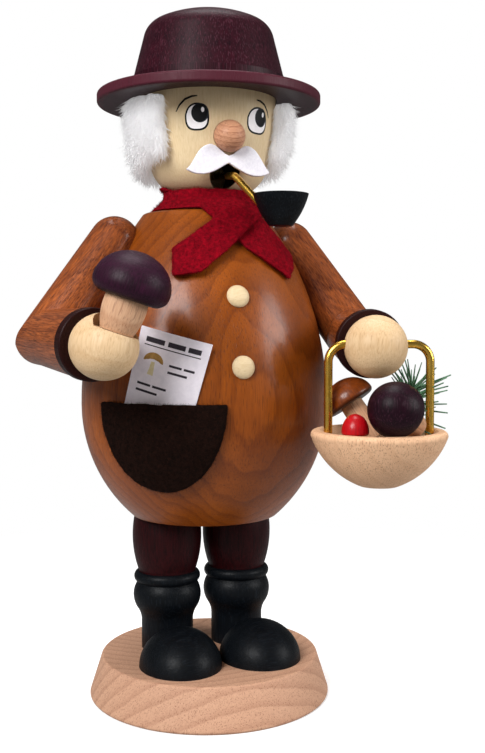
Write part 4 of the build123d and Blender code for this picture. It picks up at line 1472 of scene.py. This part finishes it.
    def build_brow(self, eye: Eye) -> None:
        """Paints the eyebrow above an eye as a thin arc.

        Args:
            eye: the eye.
        """
        printer = self.printer(eye.sign * self.brow_azimuth, self.eye_rise)
        printer.band([(eye.sign * x, z) for x, z in self.brow], self.brow_widths, self.paint)
        printer.finish(f"{eye.side}_eyebrow", EYE_BLACK)


@dataclass
class Pipe:
    """The brass stem and the black bowl."""

    shop: Workshop
    bowl_foot: Place = (12.2, -27.0, 136.0)

    def build(self) -> None:
        """Dresses the pipe."""
        self.shop.dress("pipe_stem", BRASS.material())
        self.shop.wood("pipe_bowl", BLACK, self.bowl_foot)


@dataclass
class Scarf:
    """The crimson felt scarf, whose inner upper edge is raised to the head."""

    shop: Workshop
    softness: Softness = Softness(grain=0.42, rounds=3, waves=260, depth=0.2)
    flat: Spot = (0.15, 0.0105)
    neck: Spot = HEAD_MIDDLE
    edge_rise: float = 144.4
    edge_reach: float = 13.4
    edge_lift: float = 2.2
    edge_fade: float = 1.2
    edge_top: float = 147.5

    def build(self) -> None:
        """Makes the scarf's felt in the space of its solid."""
        shop = self.shop
        scarf = shop.felt("scarf", CRIMSON_FELT, self.softness, lint_seed=7, shape=self.raise_edge)

    def raise_edge(self, scarf: Piece) -> None:
        """Raises the inner upper edge of the wrap.

        Args:
            scarf: the scarf's mesh before it is rumpled.
        """
        for vertex in scarf.data.vertices:
            out = math.hypot(vertex.co.x - self.neck[0] * MM, vertex.co.y - self.neck[1] * MM)
            if vertex.co.z > self.edge_rise * MM and out < self.edge_reach * MM:
                share = share_of(vertex.co.z / MM - self.edge_rise, self.edge_fade)
                raised = min(vertex.co.z + self.edge_lift * share * MM, self.edge_top * MM)
                vertex.co.z = max(vertex.co.z, raised)


@dataclass
class Arms:
    """Both arms with their cuffs, hands and dowels, and the mushroom in the right hand.

    Each pair is given for the left and the right arm. A shift is from a joint to the pith.
    """

    shop: Workshop
    shoulder: Place = (27.0, 0.0, 133.0)
    elbows: tuple[Place, Place] = ((43.6, -5.5, 106.0), (-46.9, -2.0, 105.5))
    ways: tuple[Place, Place] = ((-0.2582, -0.9635, -0.0715), (0.2417, -0.9693, -0.0454))
    hands: tuple[Place, Place] = ((34.02, -41.24, 103.35), (-38.39, -36.12, 103.9))
    upper_shift: Place = (2.0, 7.0, 0.0)
    forearm_shift: Place = (2.0, 0.0, 6.0)
    hand_shift: Place = (1.5, 0.0, 3.0)
    hand_fibre: Place = (0.2, 0.1, 1.0)
    dowel_fibre: Place = (1.0, 0.0, 0.0)
    held_way: Place = (0.3113, -0.0952, 0.9455)
    held_base: Place = (-33.5, -41.2, 115.64)
    # Painted shade: the held cap turns darker towards its underside.
    cap_under: Shade = Shade(Zone.HEIGHT, 0.9, 0.2, "1c0d15")

    def build(self) -> None:
        """Dresses the arms, the hands and the held mushroom."""
        shop = self.shop
        for (side, sign), *places, way in zip(SIDES, self.elbows, self.hands, self.ways):
            shoulder = mirrored(self.shoulder, sign)
            elbow, hand = (Vector(place) for place in places)
            upper_pith = shoulder + Vector(self.upper_shift)
            shop.wood(f"{side}_upper_arm", ARM_STAIN, upper_pith, elbow - shoulder)
            shop.wood(f"{side}_forearm", ARM_STAIN, elbow + Vector(self.forearm_shift), way)
            shop.wood(f"{side}_cuff", CUFF_STAIN, elbow, way)
            hand_pith = hand + Vector(self.hand_shift)
            shop.wood(f"{side}_hand", HAND_LINDEN, hand_pith, self.hand_fibre)
            shop.wood(f"{side}_shoulder_dowel", PLAIN, shoulder, self.dowel_fibre)
        base, way = self.held_base, self.held_way
        shop.wood("held_mushroom_cap", AUBERGINE, base, way, self.cap_under)
        shop.wood("held_mushroom_stem", STEM_BEECH, base, way)


@dataclass
class GuideCard:
    """The printed card in the pocket, with a drawn mushroom and ruled bars.

    Each bar has its start, its end, its height and its width.
    """

    shop: Workshop
    azimuth: float = -34.0
    tilt: float = 15.0
    rise: float = 93.5
    ray_start: float = 30.0
    ink: float = 0.015 * MM
    bars: tuple[Bar, ...] = (
        (-7.6, -2.2, 10.6, 1.35),
        (-1.2, 3.6, 10.6, 1.35),
        (4.4, 7.8, 10.6, 1.35),
        (-7.8, 8.0, 9.1, 0.28),
        (0.4, 3.9, 5.2, 0.62),
        (4.5, 7.4, 5.2, 0.62),
        (0.4, 5.8, 3.4, 0.62),
        (-7.4, -3.4, -1.4, 0.62),
        (-2.8, 1.2, -1.4, 0.62),
        (-7.4, -1.0, -3.2, 0.62),
    )
    drawn_cap: Oval = (-4.2, 5.0, 2.9, 2.5)
    cap_rings: int = 3
    drawn_stem: tuple[Spot, ...] = ((-4.2, 5.0), (-4.2, 3.2), (-4.3, 1.4))
    stem_widths: Place = (1.1, 1.3, 1.8)

    def build(self) -> None:
        """Dresses the card and prints it."""
        self.shop.dress("guide_card", CARD.material())
        low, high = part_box("guide_card")
        face = outward(self.azimuth)
        side = outward(self.azimuth + 90)
        turn = math.radians(self.tilt)
        right = side * math.cos(turn) - UP * math.sin(turn)
        above = side * math.sin(turn) + UP * math.cos(turn)
        middle = (low + high) / 2
        middle.z = self.rise * MM

        def ray(across: float, up: float) -> tuple[Vector, Vector]:
            """Turns a place on the card into a ray onto its face."""
            spot = middle + right * across * MM + above * up * MM
            return spot + face * self.ray_start * MM, -face

        printer = Printer(self.shop, "guide_card", ray)
        for start, end, at, wide in self.bars:
            printer.band(((start, at), (end, at)), (wide, wide), self.ink)
        printer.finish("card_bars", INK)
        printer.blob(oval(*self.drawn_cap, half=True), self.ink * 2, self.cap_rings)
        printer.finish("card_drawn_cap", CAP_INK)
        printer.band(self.drawn_stem, self.stem_widths, self.ink)
        printer.finish("card_drawn_stem", STEM_INK)


@dataclass
class Basket:
    """The basket with its bail, mushrooms and fir sprig."""

    shop: Workshop
    bowl_pith: Place = (22.99, -25.5, 0.0)
    tan_base: Place = (30.59, -33.4, 87.45)
    tan_way: Place = (-0.4535, 0.3672, 0.8121)
    # Painted shade: the tan cap turns darker towards its underside.
    tan_under: Shade = Shade(Zone.HEIGHT, 1.2, 0.3, "35170a")
    dark_base: Place = (36.3, -51.38, 86.11)
    dark_way: Place = (-0.7318, -0.5515, 0.4003)
    dark_fibre: Place = (0.1, 0.2, 1.0)
    red_pith: Place = (24.8, -48.2, 80.6)
    twig_foot: Place = (42.78, -37.0, 77.09)
    twig_way: Place = (0.34, 0.06, 0.94)
    twig_length: float = 15.5
    twig_radius: float = 0.6
    twig_taper: float = 0.6
    twig_sides: int = 10
    needles: int = 84
    needle_start: float = 5.0
    needle_step: float = 0.126
    needle_length: float = 10.4
    needle_radius: float = 0.38
    needle_tilts: Spot = (96.0, 34.0)
    needle_seed: int = 3

    def build(self) -> None:
        """Dresses the basket and its load, and makes the sprig."""
        shop = self.shop
        shop.wood("basket_bowl", BEECH, self.bowl_pith)
        shop.dress("basket_bail", BRASS.material())
        shop.wood("tan_mushroom_cap", TAN, self.tan_base, self.tan_way, self.tan_under)
        shop.wood("tan_mushroom_stem", STEM_BEECH, self.tan_base, self.tan_way)
        shop.wood("dark_mushroom_cap", BALL_STAIN, self.dark_base, self.dark_fibre)
        shop.wood("dark_mushroom_stem", STEM_BEECH, self.dark_base, self.dark_way)
        shop.wood("red_mushroom", RED, self.red_pith)
        self.build_sprig()

    def build_sprig(self) -> None:
        """Makes the sprig of fir along the solid twig."""
        work = bmesh.new()
        bmesh.ops.create_cone(
            work,
            segments=self.twig_sides,
            radius1=self.twig_radius * MM,
            radius2=self.twig_radius * self.twig_taper * MM,
            depth=self.twig_length * MM,
            cap_ends=True,
            matrix=Matrix.Translation((0, 0, self.twig_length * MM / 2)),
        )
        sprig = add_drawn("fir_sprig", work, TWIG_WIRE.material())
        work.free()
        low_tilt, top_tilt = (math.radians(tilt) for tilt in self.needle_tilts)
        grow(
            sprig,
            sprig_tree(),
            Needles=self.needles,
            Start=self.needle_start * MM,
            Step=self.needle_step * MM,
            Length=self.needle_length * MM,
            Radius=self.needle_radius * MM,
            Low_Tilt=low_tilt,
            Top_Tilt=top_tilt,
            Seed=self.needle_seed,
            Finish=NEEDLE.material(),
        )
        turn = UP.rotation_difference(Vector(self.twig_way)).to_matrix().to_4x4()
        sprig.data.transform(Matrix.Translation(Vector(self.twig_foot) * MM) @ turn)
        self.shop.settle(sprig, "fir_twig", NEEDLE.slot)


@dataclass(frozen=True)
class Lamp:
    """A round soft lamp, with its place and size in metres and its power in watts."""

    name: str
    place: Place
    size: float
    power: float


@dataclass
class Studio:
    """The floor, the lamps, the world and the camera at the photograph's angle.

    The floor and the lamps are in metres, the camera's place is in millimetres.
    """

    lamps: tuple[Lamp, ...] = (
        Lamp("key", (-0.5, -0.42, 0.5), 0.4, 6.8),
        Lamp("fill", (0.62, -0.4, 0.34), 0.4, 3.6),
        Lamp("top", (0.05, 0.1, 0.85), 0.5, 4.2),
    )
    lamp_aim: Place = (0.0, 0.0, 0.1)
    floor_half: float = 3.0
    floor_seen: float = 0.82
    floor_bounce: float = 0.4
    floor_lift: float = 0.34
    floor_glow: float = 0.3
    floor_fade: Spot = (0.09, 0.24)
    world_light: float = 0.3
    world_gloss: float = -0.18
    distance: float = 299.7
    height: float = 111.15
    azimuth: float = 17.0
    yaw: float = 0.033
    pitch: float = 0.058
    focal_pixels: float = 1016.0
    frame_height: float = 753.0
    sensor_height: float = 24.0
    clip: Spot = (0.01, 20.0)

    def build(self) -> None:
        """Makes the floor, the lamps, the world and the camera."""
        self.add_floor()
        for lamp in self.lamps:
            self.add_lamp(lamp)
        self.add_world()
        self.add_camera()
        bpy.context.scene.view_settings.view_transform = "Standard"

    def add_floor(self) -> None:
        """Lays the pale floor, which keeps the figure's shadow and turns white further out."""
        wide = self.floor_half
        mesh = bpy.data.meshes.new("floor")
        corners = [(x * wide, y * wide, 0) for x, y in ((-1, -1), (1, -1), (1, 1), (-1, 1))]
        mesh.from_pydata(corners, [], [(0, 1, 2, 3)])
        floor = add_piece("floor", mesh)
        material, bench, shader = start_material("floor")
        bench.tree.nodes.remove(shader)
        seen = bench.value("ShaderNodeLightPath", output="Is Camera Ray")
        colour = bench.mix(seen, grey(self.floor_bounce), grey(self.floor_seen))
        lifted = bench.sum("MULTIPLY", seen, self.floor_lift)
        bright = bench.sum("MAXIMUM", seen, self.floor_glow)
        diffuse = bench.value("ShaderNodeBsdfDiffuse", {"Color": colour})
        lift = bench.value("ShaderNodeEmission", {"Strength": lifted})
        glow = bench.value("ShaderNodeEmission", {"Strength": bright})
        near = bench.value("ShaderNodeAddShader", {0: diffuse, 1: lift})
        reach = bench.length(bench.value("ShaderNodeTexCoord", output="Object"))
        far = bench.span(reach, *self.floor_fade)
        whole = bench.value("ShaderNodeMixShader", {0: far, 1: near, 2: glow})
        bench.feed(bench.tree.nodes["Material Output"], {"Surface": whole})
        mesh.materials.append(material)

    def add_lamp(self, lamp: Lamp) -> None:
        """Hangs one lamp that points at the figure's middle.

        Args:
            lamp: the lamp.
        """
        light = bpy.data.lights.new(lamp.name, "AREA")
        light.shape = "DISK"
        light.size = lamp.size
        light.energy = lamp.power
        holder = bpy.data.objects.new(lamp.name, light)
        holder.location = lamp.place
        aim = Vector(self.lamp_aim) - Vector(lamp.place)
        holder.rotation_euler = aim.to_track_quat("-Z", "Y").to_euler()
        bpy.context.scene.collection.objects.link(holder)

    def add_world(self) -> None:
        """Sets a plain world that is white to the camera and weaker for the figure's light."""
        world = bpy.data.worlds.new("studio")
        bpy.context.scene.world = world
        world.use_nodes = True
        bench = NodeBench(world.node_tree)
        path = bench.add("ShaderNodeLightPath").outputs
        seen = bench.sum("MAXIMUM", path["Is Camera Ray"], path["Is Transmission Ray"])
        gloss = path["Is Glossy Ray"]
        around = bench.sum("MULTIPLY_ADD", gloss, self.world_gloss, self.world_light)
        strength = bench.sum("MAXIMUM", seen, around)
        inputs = {"Color": grey(1.0), "Strength": strength}
        bench.feed(bench.tree.nodes["Background"], inputs)

    def add_camera(self) -> None:
        """Sets the camera at the photograph's viewing angle."""
        camera = bpy.data.cameras.new("camera")
        camera.sensor_fit = "VERTICAL"
        camera.sensor_height = self.sensor_height
        camera.lens = self.focal_pixels / self.frame_height * camera.sensor_height
        camera.clip_start, camera.clip_end = self.clip
        holder = bpy.data.objects.new("camera", camera)
        holder.location = (outward(-self.azimuth) * self.distance + UP * self.height) * MM
        heading = math.radians(self.azimuth) + self.yaw
        holder.rotation_euler = Euler((math.pi / 2 - self.pitch, 0, -heading))
        bpy.context.scene.collection.objects.link(holder)
        bpy.context.scene.camera = holder


def main() -> None:
    """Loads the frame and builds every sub-assembly in order."""
    logging.basicConfig(level=logging.INFO, format="%(name)s: %(message)s")
    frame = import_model()
    shop = Workshop(frame, Effects())
    kinds = (Stand, Trunk, Head, Pipe, Scarf, Arms, GuideCard, Basket)
    for part in (Studio(), *(kind(shop) for kind in kinds)):
        log.info("building %s", type(part).__name__)
        part.build()


if __name__ == "__main__":
    main()
